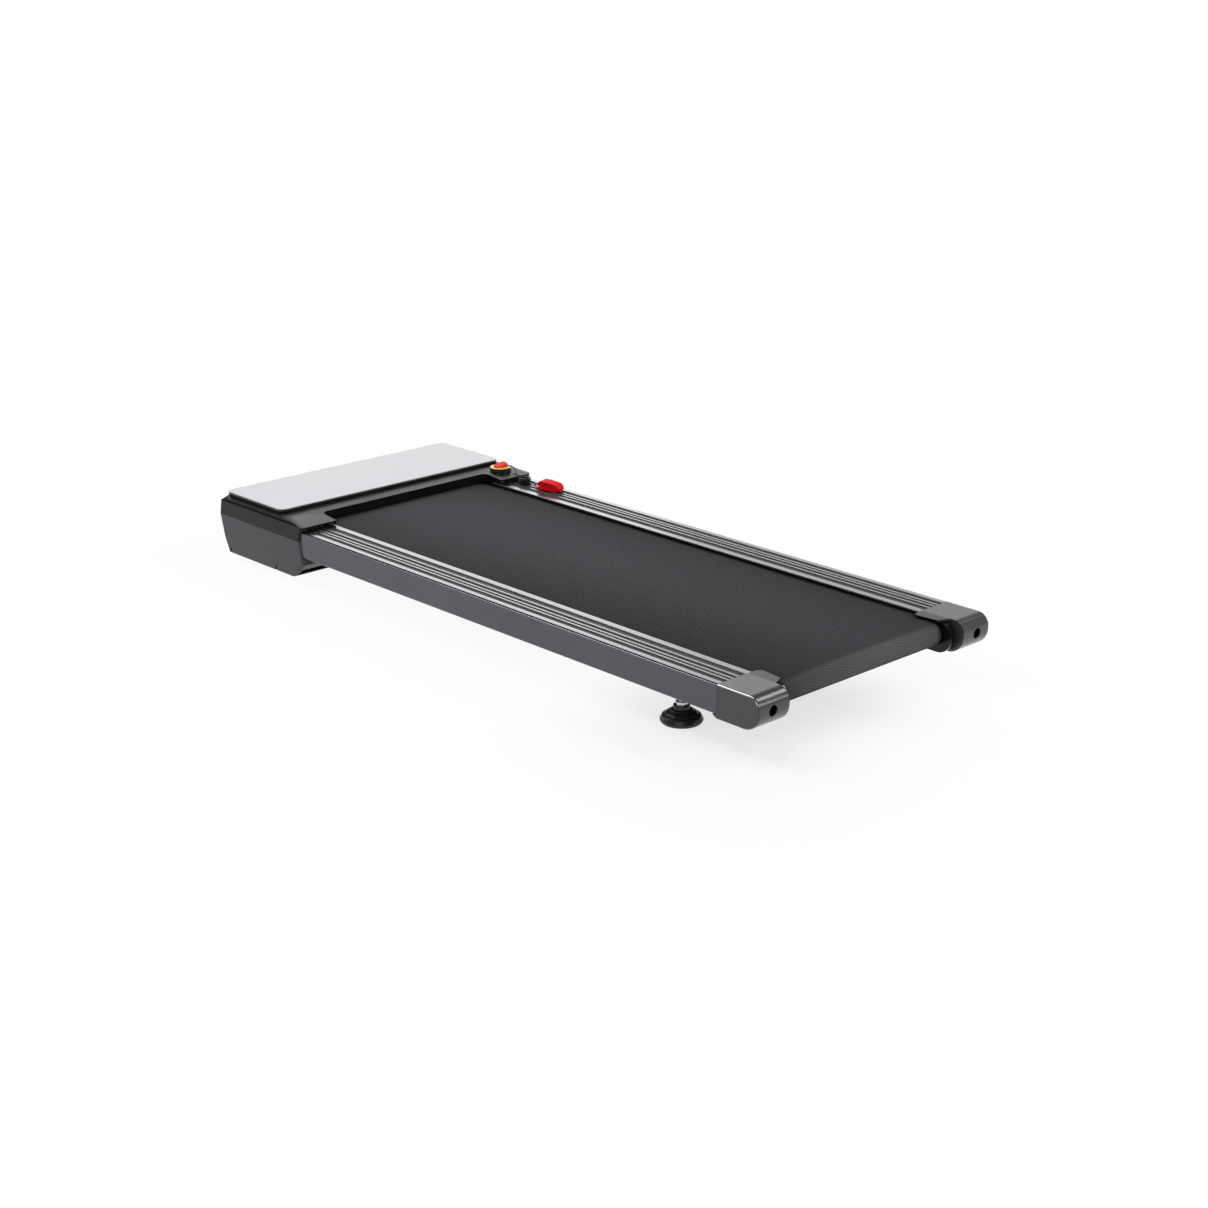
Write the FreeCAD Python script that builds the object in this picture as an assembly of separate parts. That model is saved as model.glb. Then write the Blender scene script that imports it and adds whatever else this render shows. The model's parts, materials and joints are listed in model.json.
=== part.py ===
import FreeCAD, Part
import math
import os

# Walking pad: a flat treadmill with a motor housing at its front end and a roller at each end of the belt.
# Millimetres. The origin is on the floor under the middle, +X is the walker's right, +Y the front, +Z up.

V = FreeCAD.Vector
X_AXIS = V(1, 0, 0)
Y_AXIS = V(0, 1, 0)
Z_AXIS = V(0, 0, 1)

# Overall size and clearances
overall_length = 1316.0
rail_outer_width = 520.0
rail_height = 46.0
rail_ground_clearance = 50.3
running_clearance = 0.05
close_clearance = 0.3
slot_clearance = 1.5
overrun = 6.0
same_point = 1e-6

# Walking belt and rollers
belt_side_inset = 80.0
belt_thickness = 1.5
belt_drop = 5.0
roller_radius = 18.2
roller_end_gap = 2.0
rear_axle_inset = 49.3
front_axle_recess_gap = 40.0
shaft_radius = 6.0
bearing_radius = 14.0
bearing_width = 8.0
bearing_inset = 7.0

# Side rails and foot rails
rail_wall = 2.5
rail_depth = 52.0
rail_lip = 4.6
rail_upper_lip = 8.0
rail_corner_radius = 3.0
rail_edge_drop = 1.1
rail_edge_radius = 1.2
rail_front_inset = 58.0
foot_rail_thickness = 6.0
foot_rail_belt_gap = 8.6
foot_rail_groove = 3.3
foot_rail_lip = 3.0
foot_rail_front_cover = 25.0
rib_depth = 2.0
rib_edge_shares = [(0.0, 0.18), (0.355, 0.42), (0.525, 0.59), (0.655, 0.72), (0.858, 1.0)]

# Deck, cushions and cross members
deck_thickness = 15.0
deck_side_gap = 8.0
deck_rear_gap = 3.0
deck_roller_gap = 17.5
cushion_height = 4.0
cushion_length = 30.0
cushion_width = 20.0
cushion_inset = 50.0
cross_width = 30.0
cross_wall = 1.5
cross_belt_gap = 2.7
cross_rear_inset = 228.0
cross_front_gap = 20.0
deck_bolt_inset = 10.0
deck_bolt_radius = 3.0
deck_bolt_head_radius = 6.0
deck_bolt_head_height = 3.3
deck_bolt_tail = 3.0

# Rear end caps with their roller guards
cap_length = 80.0
cap_below_rail = 7.0
cap_wall = 2.5
cap_top_radius = 20.0
cap_lower_radius = 30.0
cap_edge_radius = 3.5
cap_inner_inset = 63.0
cap_ramp_back = 1.5
cap_ramp_reach = 8.3
guard_thickness = 10.0
guard_groove_depth = 4.0
guard_end_inset = 13.0
guard_top_drop = 3.2
guard_belt_gap = 2.0
lip_thickness = 3.0
lip_reach = 8.5
lip_tip_reach = 3.0
lip_tip_back = 44.0
lip_corner_radius = 10.0
lip_root_back = 54.0
adjust_hole_radius = 8.5
adjust_hole_inset = 30.0
cap_shaft_clearance = 0.8

# Rear axle brackets and belt adjusting bolts
bracket_plate = 4.0
bracket_height = 28.6
bracket_reach = 58.0
bracket_tab_inset = 17.0
bracket_inner_inset = 48.0
bracket_inner_length = 51.0
shaft_slot_forward = 17.0
shaft_slot_back = 16.0
rear_shaft_end_gap = 12.0
adjust_bolt_radius = 3.0
adjust_head_radius = 5.0
adjust_head_height = 6.0
adjust_socket_flats = 5.0
adjust_socket_depth = 3.5
adjust_bolt_length = 51.0
adjust_bolt_hole_radius = 3.3

# Front axle blocks
axle_block_length = 24.0
axle_block_side_gap = 2.0

# Motor housing
housing_overhang = 3.8
housing_bottom_z = 11.0
housing_crease_z = 79.5
housing_shoulder_z = 105.5
housing_top_z = 113.6
housing_heel_rise = 27.0
housing_wall = 2.4
housing_front_radius = 4.0
housing_rear_radius = 7.0
housing_top_radius = 13.0
side_tuck_bottom = 2.4
side_tuck_low = 0.9
side_tuck_shoulder = 1.0
rear_tuck_bottom = 29.0
rear_tuck_crease = 7.0
front_tuck_bottom = 20.0
front_tuck_low = 9.5
front_tuck_shoulder = 3.5
front_tuck_top = 6.0
chamfer_width = 13.6
recess_depth = 45.0
recess_radius = 13.0
recess_belt_gap = 3.0
bottom_slit_width = 4.0
bottom_slit_height = 9.0
bottom_slit_back = 82.0
bottom_slit_front = 30.0

# Top plate and its frame
plate_side_inset = 13.5
plate_rear_gap = 32.6
plate_front_inset = 3.9
plate_thickness = 2.0
plate_radius = 13.0
plate_frame_height = 4.5
plate_seam_height = 1.2
plate_seam_inset = 1.2

# Belly pan
pan_thickness = 2.0
pan_wall_inset = 8.0
pan_wall_rear_inset = 35.0
pan_wall_front_inset = 58.0
pan_flange_width = 24.0
pan_vent_width = 4.0
pan_vent_length = 50.0
pan_vent_pitch = 12.0
pan_vent_count = 9
pan_post_flats = 7.0

# Motor, its mount and the belt drive
motor_radius = 42.0
motor_side_inset = 20.0
motor_board_gap = 30.0
motor_front_inset = 92.0
drive_span = 76.0
motor_axis_z = 60.0
motor_end_depth = 12.0
motor_end_step = 4.0
motor_shaft_radius = 6.0
motor_shaft_engagement = 30.0
motor_pulley_radius = 11.0
roller_pulley_radius = 30.0
pulley_width = 18.0
pulley_gap = 4.0
pulley_spigot = 10.0
pulley_shaft_clearance = 1.0
pulley_flange_rise = 2.0
pulley_flange_width = 1.1
flywheel_radius = 38.0
flywheel_width = 14.0
drive_belt_thickness = 3.0
drive_belt_width = 15.0
mount_base_thickness = 3.0
mount_base_margin = 8.0
mount_strap_width = 12.0
mount_strap_thickness = 2.6
mount_strap_inset = 18.0

# Controller
board_length = 150.0
board_width = 84.0
board_thickness = 1.6
board_side_inset = 70.0
board_rear_inset = 112.0
board_post_height = 11.0
board_post_inset = 7.0
capacitor_radius = 9.0
capacitor_height = 32.0
capacitor_pitch = 24.0
sink_length = 60.0
sink_width = 40.0
sink_height = 26.0
sink_base = 4.0
sink_fin_count = 7
sink_fin_share = 0.4

# Power panel with the mains inlet and the switch
panel_side_inset = 63.8
panel_width = 80.0
panel_height = 30.0
panel_bottom_z = 42.0
panel_wall = 2.0
panel_back_inset = 22.0
panel_depth = 6.0
inlet_width = 27.0
inlet_height = 20.0
inlet_depth = 15.0
inlet_flange = 1.5
inlet_wall = 1.6
inlet_floor = 3.0
inlet_pin_width = 2.0
inlet_pin_height = 4.0
inlet_pin_length = 9.0
inlet_pin_pitch = 7.0
inlet_share = 0.3
switch_share = 0.78
switch_width = 13.0
switch_height = 20.0
switch_depth = 14.0
switch_flange = 1.5
rocker_radius = 8.0
rocker_width = 9.0
rocker_rise = 4.0
rocker_dip = 2.0
rocker_pin_radius = 1.5
rocker_pin_reach = 1.4
rocker_tilt_deg = -10.0

# Transport wheels and front feet
wheel_radius = 22.0
wheel_width = 16.0
wheel_floor_gap = 2.0
wheel_side_inset = 45.0
wheel_front_inset = 54.0
wheel_rim_width = 4.0
wheel_hub_radius = 8.0
wheel_dish = 3.0
wheel_axle_radius = 4.0
wheel_fork_gap = 1.5
wheel_fork_thickness = 2.0
wheel_fork_height = 20.0
wheel_fork_length = 22.0
wheel_well_gap = 3.0
wheel_axle_head = 1.5
front_foot_radius = 18.0
front_foot_side_inset = 45.0
front_foot_inset = 158.0
front_foot_recess = 3.0

# Levelling feet
foot_side_inset = 36.0
foot_rear_inset = 183.2
pad_radius = 32.5
pad_base_radius = 30.0
pad_rim_height = 4.5
pad_shoulder_radius = 29.0
pad_shoulder_height = 11.0
pad_neck_radius = 15.0
pad_neck_height = 21.0
pad_collar_radius = 12.5
pad_height = 27.0
pad_well_radius = 25.0
pad_well_height = 5.0
stud_radius = 5.0
stud_seat_depth = 10.0
stud_length = 58.0
stud_hex_flats = 17.0
stud_hex_height = 5.0
weld_nut_height = 8.0
weld_nut_flats = 17.0
stud_hole_clearance = 0.6

# Safety key
key_side_inset = 35.5
key_rear_inset = 44.0
key_socket_radius = 20.5
key_socket_depth = 12.6
key_socket_top_z = 112.6
key_radius = 19.5
key_thickness = 3.5
key_grip_length = 27.0
key_grip_width = 19.0
key_grip_low = 1.2
key_grip_rise = 6.4
key_grip_tip_share = 0.8
key_heading_deg = -15.0
key_magnet_radius = 8.0
key_magnet_thickness = 2.0

# Lanyard cord: its route is a list chosen by hand, from the rail's outer top edge where the housing starts
cord_radius = 1.0
lead_route = [(-26.1, 34.9, 23.0), (-22.6, 31.4, 22.4), (-17.8, 26.2, 18.6), (-17.0, 22.8, 15.4),
              (-19.0, 18.4, 13.3), (-24.4, 13.0, 12.5), (-29.0, 5.6, 11.9), (-30.4, -1.4, 11.6),
              (-28.4, -7.4, 10.3)]
tail_route = [(-18.6, -34.0, 1.3), (-22.8, -42.6, 1.5), (-28.6, -48.8, 2.5)]
coil_place = (-32.0, -21.5)
coil_floor_gap = 0.3
coil_outer_radius = 11.5
coil_turn_step = 2.9
coil_layer_step = 2.9
coil_start_deg = 20.0
coil_layer_half_turns = [3, 3, 3, 4]
ferrule_radius = 2.3
ferrule_length = 5.0
ferrule_run = 8.6

# Garment clip on the lanyard
clip_place = (-28.4, -89.0)
clip_open_deg = 8.0
clip_heading_deg = 14.0
clip_length = 50.0
clip_width = 21.0
clip_corner_radius = 5.0
clip_lower_height = 6.2
clip_jaw_gap = 0.4
clip_top_height = 13.5
clip_handle_rise = 3.2
clip_end_share = 0.16
clip_pivot_share = -0.06
clip_pivot_height = 9.2
clip_ear_thickness = 2.4
clip_ear_radius = 4.0
clip_swing_room = 1.0
clip_end_low = 1.6
clip_end_high = 4.8
clip_handle_edge = 1.8
clip_pin_radius = 1.2
clip_spring_outer = 2.6
clip_spring_inner = 1.7
clip_spring_length = 6.0

# Places worked out from the sizes above
rear_y = -overall_length / 2
front_y = overall_length / 2
rail_x = rail_outer_width / 2
rail_inner_x = rail_x - rail_depth
rail_bottom_z = rail_ground_clearance
rail_top_z = rail_bottom_z + rail_height
rail_seat_z = rail_top_z - foot_rail_thickness
rail_edge_z = rail_top_z - rail_edge_drop
motor_axis_y = front_y - motor_front_inset
front_axle_y = motor_axis_y - drive_span
housing_recess_y = front_axle_y - front_axle_recess_gap
housing_rear_y = housing_recess_y - recess_depth
rail_front_y = front_y - rail_front_inset
belt_x = rail_x - belt_side_inset
foot_rail_inner_x = belt_x + foot_rail_belt_gap
foot_rail_outer_x = rail_x - foot_rail_groove
belt_top_z = rail_top_z - belt_drop
belt_inner_radius = roller_radius + close_clearance
belt_outer_radius = belt_inner_radius + belt_thickness
axle_z = belt_top_z - belt_outer_radius
rear_axle_y = rear_y + rear_axle_inset
roller_half = belt_x - roller_end_gap
cap_seam_y = rear_y + cap_length
cap_bottom_z = rail_bottom_z - cap_below_rail
cap_inner_x = rail_x - cap_inner_inset
deck_top_z = belt_top_z - belt_thickness - close_clearance
deck_bottom_z = deck_top_z - deck_thickness
cross_top_z = deck_bottom_z - cushion_height
cross_bottom_z = axle_z - belt_inner_radius + cross_belt_gap
cross_rear_y = rear_y + cross_rear_inset
cross_front_y = housing_rear_y - cross_front_gap
cross_stations = [cross_rear_y, (cross_rear_y + cross_front_y) / 2, cross_front_y]
deck_x = rail_inner_x - deck_side_gap
cushion_x = deck_x - cushion_inset
deck_bolt_x = deck_x - deck_bolt_inset
adjust_x = rail_x - adjust_hole_inset
housing_x = rail_x + housing_overhang
plate_x = housing_x - plate_side_inset
plate_rear_y = housing_recess_y + plate_rear_gap
foot_rail_front_y = housing_rear_y + foot_rail_front_cover
bracket_tab_y = rear_y + bracket_tab_inset
board_x = rail_x - board_side_inset - board_length
motor_x = motor_side_inset - belt_x
motor_end_x = board_x - motor_board_gap
panel_x = housing_x - panel_side_inset - panel_width
foot_x = rail_x - foot_side_inset
foot_y = rear_y + foot_rear_inset
wheel_x = rail_x - wheel_side_inset
key_x = rail_x - key_side_inset
key_y = housing_rear_y + key_rear_inset
pan_top_z = housing_bottom_z + pan_thickness
wheel_y = front_y - wheel_front_inset
wheel_z = wheel_floor_gap + wheel_radius
key_bottom_z = key_socket_top_z + close_clearance
key_top_z = key_bottom_z + key_thickness
coil_floor_z = rail_top_z + coil_floor_gap + cord_radius
clip_floor_z = rail_top_z + close_clearance


def points_yz(pairs, x=0.0):
    return [V(x, y, z) for y, z in pairs]


def points_xz(pairs, y=0.0):
    return [V(x, y, z) for x, z in pairs]


def points_xy(pairs, z=0.0):
    return [V(x, y, z) for x, y in pairs]


def rounded_outline(points, radii):
    """Closed wire through the points, each corner rounded by its own radius; zero leaves it sharp."""
    corners = []
    for index, point in enumerate(points):
        radius = radii[index]
        if radius == 0:
            corners.append((point, None, point))
            continue
        to_before = (points[index - 1] - point).normalize()
        to_after = (points[(index + 1) % len(points)] - point).normalize()
        half_angle = to_before.getAngle(to_after) / 2
        reach = radius / math.tan(half_angle)
        inward = (to_before + to_after).normalize()
        middle = point + inward * (radius / math.sin(half_angle) - radius)
        corners.append((point + to_before * reach, middle, point + to_after * reach))
    edges = []
    for index, (entry, middle, leave) in enumerate(corners):
        if middle is not None:
            edges.append(Part.Arc(entry, middle, leave).toShape())
        following = corners[(index + 1) % len(corners)][0]
        if leave.distanceToPoint(following) > same_point:
            edges.append(Part.LineSegment(leave, following).toShape())
    return Part.Wire(edges)


def prism(points, radii, direction):
    return Part.Face(rounded_outline(points, radii)).extrude(direction)


def sharp_prism(points, direction):
    return prism(points, [0] * len(points), direction)


def box(x_pair, y_pair, z_pair):
    size = [pair[1] - pair[0] for pair in (x_pair, y_pair, z_pair)]
    return Part.makeBox(size[0], size[1], size[2], V(x_pair[0], y_pair[0], z_pair[0]))


def rod(radius, start, end):
    run = end - start
    return Part.makeCylinder(radius, run.Length, start, run)


def turned(pairs, origin, axis):
    """Solid of revolution of (radius, distance along the axis) pairs."""
    outline = [V(radius, 0, along) for radius, along in pairs]
    face = Part.Face(Part.makePolygon(outline + outline[:1]))
    solid = face.revolve(V(0, 0, 0), Z_AXIS, 360)
    solid.Placement = FreeCAD.Placement(origin, FreeCAD.Rotation(Z_AXIS, axis))
    return solid


def hexagon(across_flats, height, origin, axis):
    corner = across_flats / math.sqrt(3)
    turns = [math.pi * k / 3 for k in range(7)]
    face = Part.Face(Part.makePolygon([V(corner * math.cos(a), corner * math.sin(a), 0) for a in turns]))
    solid = face.extrude(V(0, 0, height))
    solid.Placement = FreeCAD.Placement(origin, FreeCAD.Rotation(Z_AXIS, axis))
    return solid


def mirrored(shape):
    return shape.mirror(V(0, 0, 0), X_AXIS)


def fuse_all(shapes):
    result = shapes[0].fuse(shapes[1:])
    return result.removeSplitter()


def edges_on(shape, axis_name, value):
    """Edges of a shape that lie wholly at one value of X, Y or Z."""
    low = axis_name + "Min"
    high = axis_name + "Max"
    found = []
    for edge in shape.Edges:
        bounds = edge.BoundBox
        reach = max(abs(getattr(bounds, low) - value), abs(getattr(bounds, high) - value))
        if reach < running_clearance:
            found.append(edge)
    return found


def save(name, shape):
    shape.exportStep("parts/" + name + ".step")


def save_pair(name, right_shape):
    save(name + "_right", right_shape)
    save(name + "_left", mirrored(right_shape))


# Side rails and foot rails

def side_rail():
    web_x = rail_x - rail_wall
    lip_x = rail_inner_x + rail_wall
    pairs = [(rail_x, rail_bottom_z), (rail_x, rail_edge_z), (web_x, rail_edge_z), (web_x, rail_seat_z),
             (rail_inner_x, rail_seat_z), (rail_inner_x, rail_seat_z - rail_upper_lip),
             (lip_x, rail_seat_z - rail_upper_lip), (lip_x, rail_seat_z - rail_wall),
             (web_x, rail_seat_z - rail_wall), (web_x, rail_bottom_z + rail_wall),
             (lip_x, rail_bottom_z + rail_wall), (lip_x, rail_bottom_z + rail_lip),
             (rail_inner_x, rail_bottom_z + rail_lip), (rail_inner_x, rail_bottom_z)]
    radii = [rail_corner_radius, rail_edge_radius, rail_edge_radius] + [0] * (len(pairs) - 3)
    start_y = cap_seam_y + close_clearance
    rail = prism(points_xz(pairs, start_y), radii, V(0, rail_front_y - start_y, 0))
    hole_radius = stud_radius + stud_hole_clearance
    hole = rod(hole_radius, V(foot_x, foot_y, rail_bottom_z - overrun),
               V(foot_x, foot_y, rail_bottom_z + overrun))
    return rail.cut(hole)


def foot_rail():
    width = foot_rail_outer_x - foot_rail_inner_x
    groove_z = rail_top_z - rib_depth
    pairs = [(rail_inner_x, rail_top_z - foot_rail_lip), (foot_rail_inner_x, rail_top_z - foot_rail_lip)]
    for start_share, end_share in rib_edge_shares:
        start_x = foot_rail_inner_x + width * start_share
        end_x = foot_rail_inner_x + width * end_share
        if start_share > 0:
            pairs.append((start_x, groove_z))
        pairs.append((start_x, rail_top_z))
        pairs.append((end_x, rail_top_z))
        if end_share < 1:
            pairs.append((end_x, groove_z))
    pairs.append((foot_rail_outer_x, rail_seat_z))
    pairs.append((rail_inner_x, rail_seat_z))
    start_y = cap_seam_y + close_clearance
    return sharp_prism(points_xz(pairs, start_y), V(0, foot_rail_front_y - start_y, 0))


# Deck, its cushions, bolts and cross members

def cross_members():
    half = rail_x - rail_wall - close_clearance
    tubes = []
    for station in cross_stations:
        y_pair = (station - cross_width / 2, station + cross_width / 2)
        tube = box((-half, half), y_pair, (cross_bottom_z, cross_top_z))
        bore = box((-half - overrun, half + overrun), (y_pair[0] + cross_wall, y_pair[1] - cross_wall),
                   (cross_bottom_z + cross_wall, cross_top_z - cross_wall))
        tubes.append(tube.cut(bore))
    holes = deck_bolt_solids(running_clearance)
    return Part.makeCompound([tube.cut(holes) for tube in tubes])


def deck_bolt_solids(growth):
    """Countersunk bolts from the deck's top into the end cross members; growth opens the matching holes."""
    shank = deck_bolt_radius + growth
    head = deck_bolt_head_radius + growth
    foot_z = cross_top_z - cross_wall - deck_bolt_tail - growth
    neck_z = deck_top_z - deck_bolt_head_height
    pairs = [(0, foot_z), (shank, foot_z), (shank, neck_z), (head, deck_top_z), (0, deck_top_z)]
    bolts = []
    for station in (cross_rear_y, cross_front_y):
        for side in (-1, 1):
            bolts.append(turned(pairs, V(side * deck_bolt_x, station, 0), Z_AXIS))
    return bolts


def deck_board():
    y_pair = (cap_seam_y + deck_rear_gap, front_axle_y - belt_inner_radius - deck_roller_gap)
    board = box((-deck_x, deck_x), y_pair, (deck_bottom_z, deck_top_z))
    return board.cut(deck_bolt_solids(running_clearance))


def deck_cushions():
    cushions = []
    for station in cross_stations:
        for side in (-1, 1):
            x = side * cushion_x
            cushions.append(box((x - cushion_length / 2, x + cushion_length / 2),
                                (station - cushion_width / 2, station + cushion_width / 2),
                                (cross_top_z, deck_bottom_z)))
    return Part.makeCompound(cushions)


# Walking belt and rollers

def belt_loop(radius):
    top = axle_z + radius
    bottom = axle_z - radius
    x = -belt_x
    edges = [Part.LineSegment(V(x, rear_axle_y, top), V(x, front_axle_y, top)),
             Part.Arc(V(x, front_axle_y, top), V(x, front_axle_y + radius, axle_z), V(x, front_axle_y, bottom)),
             Part.LineSegment(V(x, front_axle_y, bottom), V(x, rear_axle_y, bottom)),
             Part.Arc(V(x, rear_axle_y, bottom), V(x, rear_axle_y - radius, axle_z), V(x, rear_axle_y, top))]
    return Part.Face(Part.Wire([edge.toShape() for edge in edges])).extrude(V(2 * belt_x, 0, 0))


def walking_belt():
    return belt_loop(belt_outer_radius).cut(belt_loop(belt_inner_radius))


def roller(axle_y):
    end = V(roller_half, 0, 0)
    centre = V(0, axle_y, axle_z)
    tube_bore = rod(bearing_radius + running_clearance, centre - end * 2, centre + end * 2)
    return rod(roller_radius, centre - end, centre + end).cut(tube_bore)


def roller_bearings(axle_y):
    """Ball bearings that seat in both ends of a roller."""
    start = roller_half - bearing_inset - bearing_width - pulley_spigot
    width = V(bearing_width, 0, 0)
    bearings = []
    for x in (start, -start - bearing_width):
        side = V(x, axle_y, axle_z)
        bore = rod(shaft_radius + running_clearance, side - width, side + width * 2)
        bearings.append(rod(bearing_radius, side, side + width).cut(bore))
    return Part.makeCompound(bearings)


def rear_shaft():
    half = rail_x - rear_shaft_end_gap
    shaft = rod(shaft_radius, V(-half, rear_axle_y, axle_z), V(half, rear_axle_y, axle_z))
    reach = V(0, shaft_radius + overrun, 0)
    for side in (-1, 1):
        centre = V(side * adjust_x, rear_axle_y, axle_z)
        shaft = shaft.cut(rod(adjust_bolt_radius + running_clearance, centre - reach, centre + reach))
    return shaft


def front_shaft():
    half = rail_x - rail_wall - axle_block_side_gap
    return rod(shaft_radius, V(-half, front_axle_y, axle_z), V(half, front_axle_y, axle_z))


def front_axle_block():
    x_pair = (rail_inner_x + rail_wall + axle_block_side_gap, rail_x - rail_wall - close_clearance)
    y_pair = (front_axle_y - axle_block_length / 2, front_axle_y + axle_block_length / 2)
    z_pair = (rail_bottom_z + rail_wall + close_clearance, rail_seat_z - rail_wall - close_clearance)
    block = box(x_pair, y_pair, z_pair)
    bore = rod(shaft_radius + running_clearance, V(x_pair[0] - overrun, front_axle_y, axle_z),
               V(rail_x - rail_wall - axle_block_side_gap + running_clearance, front_axle_y, axle_z))
    return block.cut(bore)


# Rear end caps, axle brackets and adjusting bolts

def cap_side_pairs(wall):
    """Side outline of the end cap, moved in by a wall."""
    ramp_z = rail_bottom_z - close_clearance
    low_y = cap_seam_y - cap_ramp_back
    pairs = [(cap_seam_y, rail_top_z - wall), (rear_y + wall, rail_top_z - wall),
             (rear_y + wall, cap_bottom_z + wall)]
    if wall > 0:
        return pairs + [(cap_seam_y, cap_bottom_z + wall)]
    return pairs + [(low_y, cap_bottom_z), (cap_seam_y + cap_ramp_reach, ramp_z), (cap_seam_y, ramp_z)]


def cap_prism(wall, x_pair):
    pairs = cap_side_pairs(wall)
    radii = [0, cap_top_radius - wall, cap_lower_radius - wall] + [0] * (len(pairs) - 3)
    return prism(points_yz(pairs, x_pair[0]), radii, V(x_pair[1] - x_pair[0], 0, 0))


def guard_prism(inset, x_pair):
    """Rounded plate beside the roller's end."""
    top_z = rail_top_z - guard_top_drop - inset
    bottom_z = cap_bottom_z + inset
    end_y = rear_y + guard_end_inset + inset
    round_radius = (top_z - bottom_z) / 2
    pairs = [(cap_seam_y - inset, top_z), (end_y, top_z), (end_y, bottom_z), (cap_seam_y - inset, bottom_z)]
    return prism(points_yz(pairs, x_pair[0]), [0, round_radius, round_radius, 0], V(x_pair[1] - x_pair[0], 0, 0))


def cap_lip():
    """Thin tongue of the cap's top that reaches in over the belt's edge."""
    root_x = cap_inner_x + cap_wall
    edge_x = belt_x - lip_reach
    pairs = [(root_x, cap_seam_y), (edge_x, cap_seam_y), (belt_x - lip_tip_reach, cap_seam_y - lip_tip_back),
             (root_x, cap_seam_y - lip_root_back)]
    points = points_xy(pairs, rail_top_z - lip_thickness)
    return prism(points, [0, lip_corner_radius, 0, 0], V(0, 0, lip_thickness))


def end_cap():
    guard_x = belt_x + guard_belt_gap
    groove_x = guard_x + guard_thickness
    shell = cap_prism(0, (cap_inner_x, rail_x))
    outer_edges = [edge for edge in edges_on(shell, "X", rail_x) if edge.BoundBox.YMax <= cap_seam_y]
    rounded_edges = [edge for edge in outer_edges if edge.BoundBox.YMin < cap_seam_y - cap_ramp_back]
    shell = shell.makeFillet(cap_edge_radius, rounded_edges)
    guard = guard_prism(0, (guard_x, groove_x))
    neck = guard_prism(guard_groove_depth, (groove_x, cap_inner_x + cap_wall))
    cap = fuse_all([shell, guard, neck, cap_lip()])
    cap = cap.cut(cap_prism(cap_wall, (cap_inner_x + cap_wall, rail_x - cap_wall)))
    shaft_way = rod(shaft_radius + cap_shaft_clearance, V(guard_x - overrun, rear_axle_y, axle_z),
                    V(cap_inner_x + overrun, rear_axle_y, axle_z))
    tool_way = rod(adjust_hole_radius, V(adjust_x, rear_y - overrun, axle_z),
                   V(adjust_x, rear_y + overrun, axle_z))
    return cap.cut([shaft_way, tool_way])


def rear_axle_bracket():
    """Folded plate: a long cheek inside the rail, a tab across the end and a short slotted cheek."""
    outer_x = rail_x - rail_wall - close_clearance
    z_pair = (axle_z - bracket_height / 2, axle_z + bracket_height / 2)
    inner_x = rail_x - bracket_inner_inset
    cheek = box((outer_x - bracket_plate, outer_x), (bracket_tab_y, cap_seam_y + bracket_reach), z_pair)
    tab = box((inner_x, outer_x), (bracket_tab_y, bracket_tab_y + bracket_plate), z_pair)
    inner = box((inner_x, inner_x + bracket_plate),
                (bracket_tab_y, bracket_tab_y + bracket_inner_length), z_pair)
    bracket = fuse_all([cheek, tab, inner])
    slot_half = shaft_radius + running_clearance
    slot_rear = rear_axle_y - shaft_slot_back
    slot_front = rear_axle_y + shaft_slot_forward
    slot_pairs = [(slot_rear, axle_z - slot_half), (slot_front, axle_z - slot_half),
                  (slot_front, axle_z + slot_half), (slot_rear, axle_z + slot_half)]
    slot = prism(points_yz(slot_pairs, inner_x - overrun), [slot_half] * 4, V(bracket_plate + 2 * overrun, 0, 0))
    bolt_way = rod(adjust_bolt_hole_radius, V(adjust_x, bracket_tab_y - overrun, axle_z),
                   V(adjust_x, bracket_tab_y + bracket_plate + overrun, axle_z))
    return bracket.cut([slot, bolt_way])


def adjust_bolt():
    """Socket-head bolt through the rear shaft's cross hole."""
    head_y = bracket_tab_y - running_clearance
    pairs = [(0, -adjust_head_height), (adjust_head_radius, -adjust_head_height), (adjust_head_radius, 0),
             (adjust_bolt_radius, 0), (adjust_bolt_radius, adjust_bolt_length), (0, adjust_bolt_length)]
    bolt = turned(pairs, V(adjust_x, head_y, axle_z), Y_AXIS)
    mouth = V(adjust_x, head_y - adjust_head_height, axle_z)
    return bolt.cut(hexagon(adjust_socket_flats, adjust_socket_depth, mouth, Y_AXIS))


# Motor housing

def housing_section(z, side_tuck, rear_tuck, front_tuck, front_radius, rear_radius, cut_corners=False):
    """Outline of the housing at one height; the inside and the pan in it have their corners cut straight."""
    half = housing_x - side_tuck
    y_low = housing_rear_y + rear_tuck
    y_high = front_y - front_tuck
    pairs = [(half, y_low), (half, y_high), (-half, y_high), (-half, y_low)]
    radii = [rear_radius, front_radius, front_radius, rear_radius]
    if cut_corners:
        pairs = [(half - rear_radius, y_low), (half, y_low + rear_radius), (half, y_high - front_radius),
                 (half - front_radius, y_high), (front_radius - half, y_high), (-half, y_high - front_radius),
                 (-half, y_low + rear_radius), (rear_radius - half, y_low)]
        radii = [0] * len(pairs)
    return rounded_outline(points_xy(pairs, z), radii)


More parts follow.
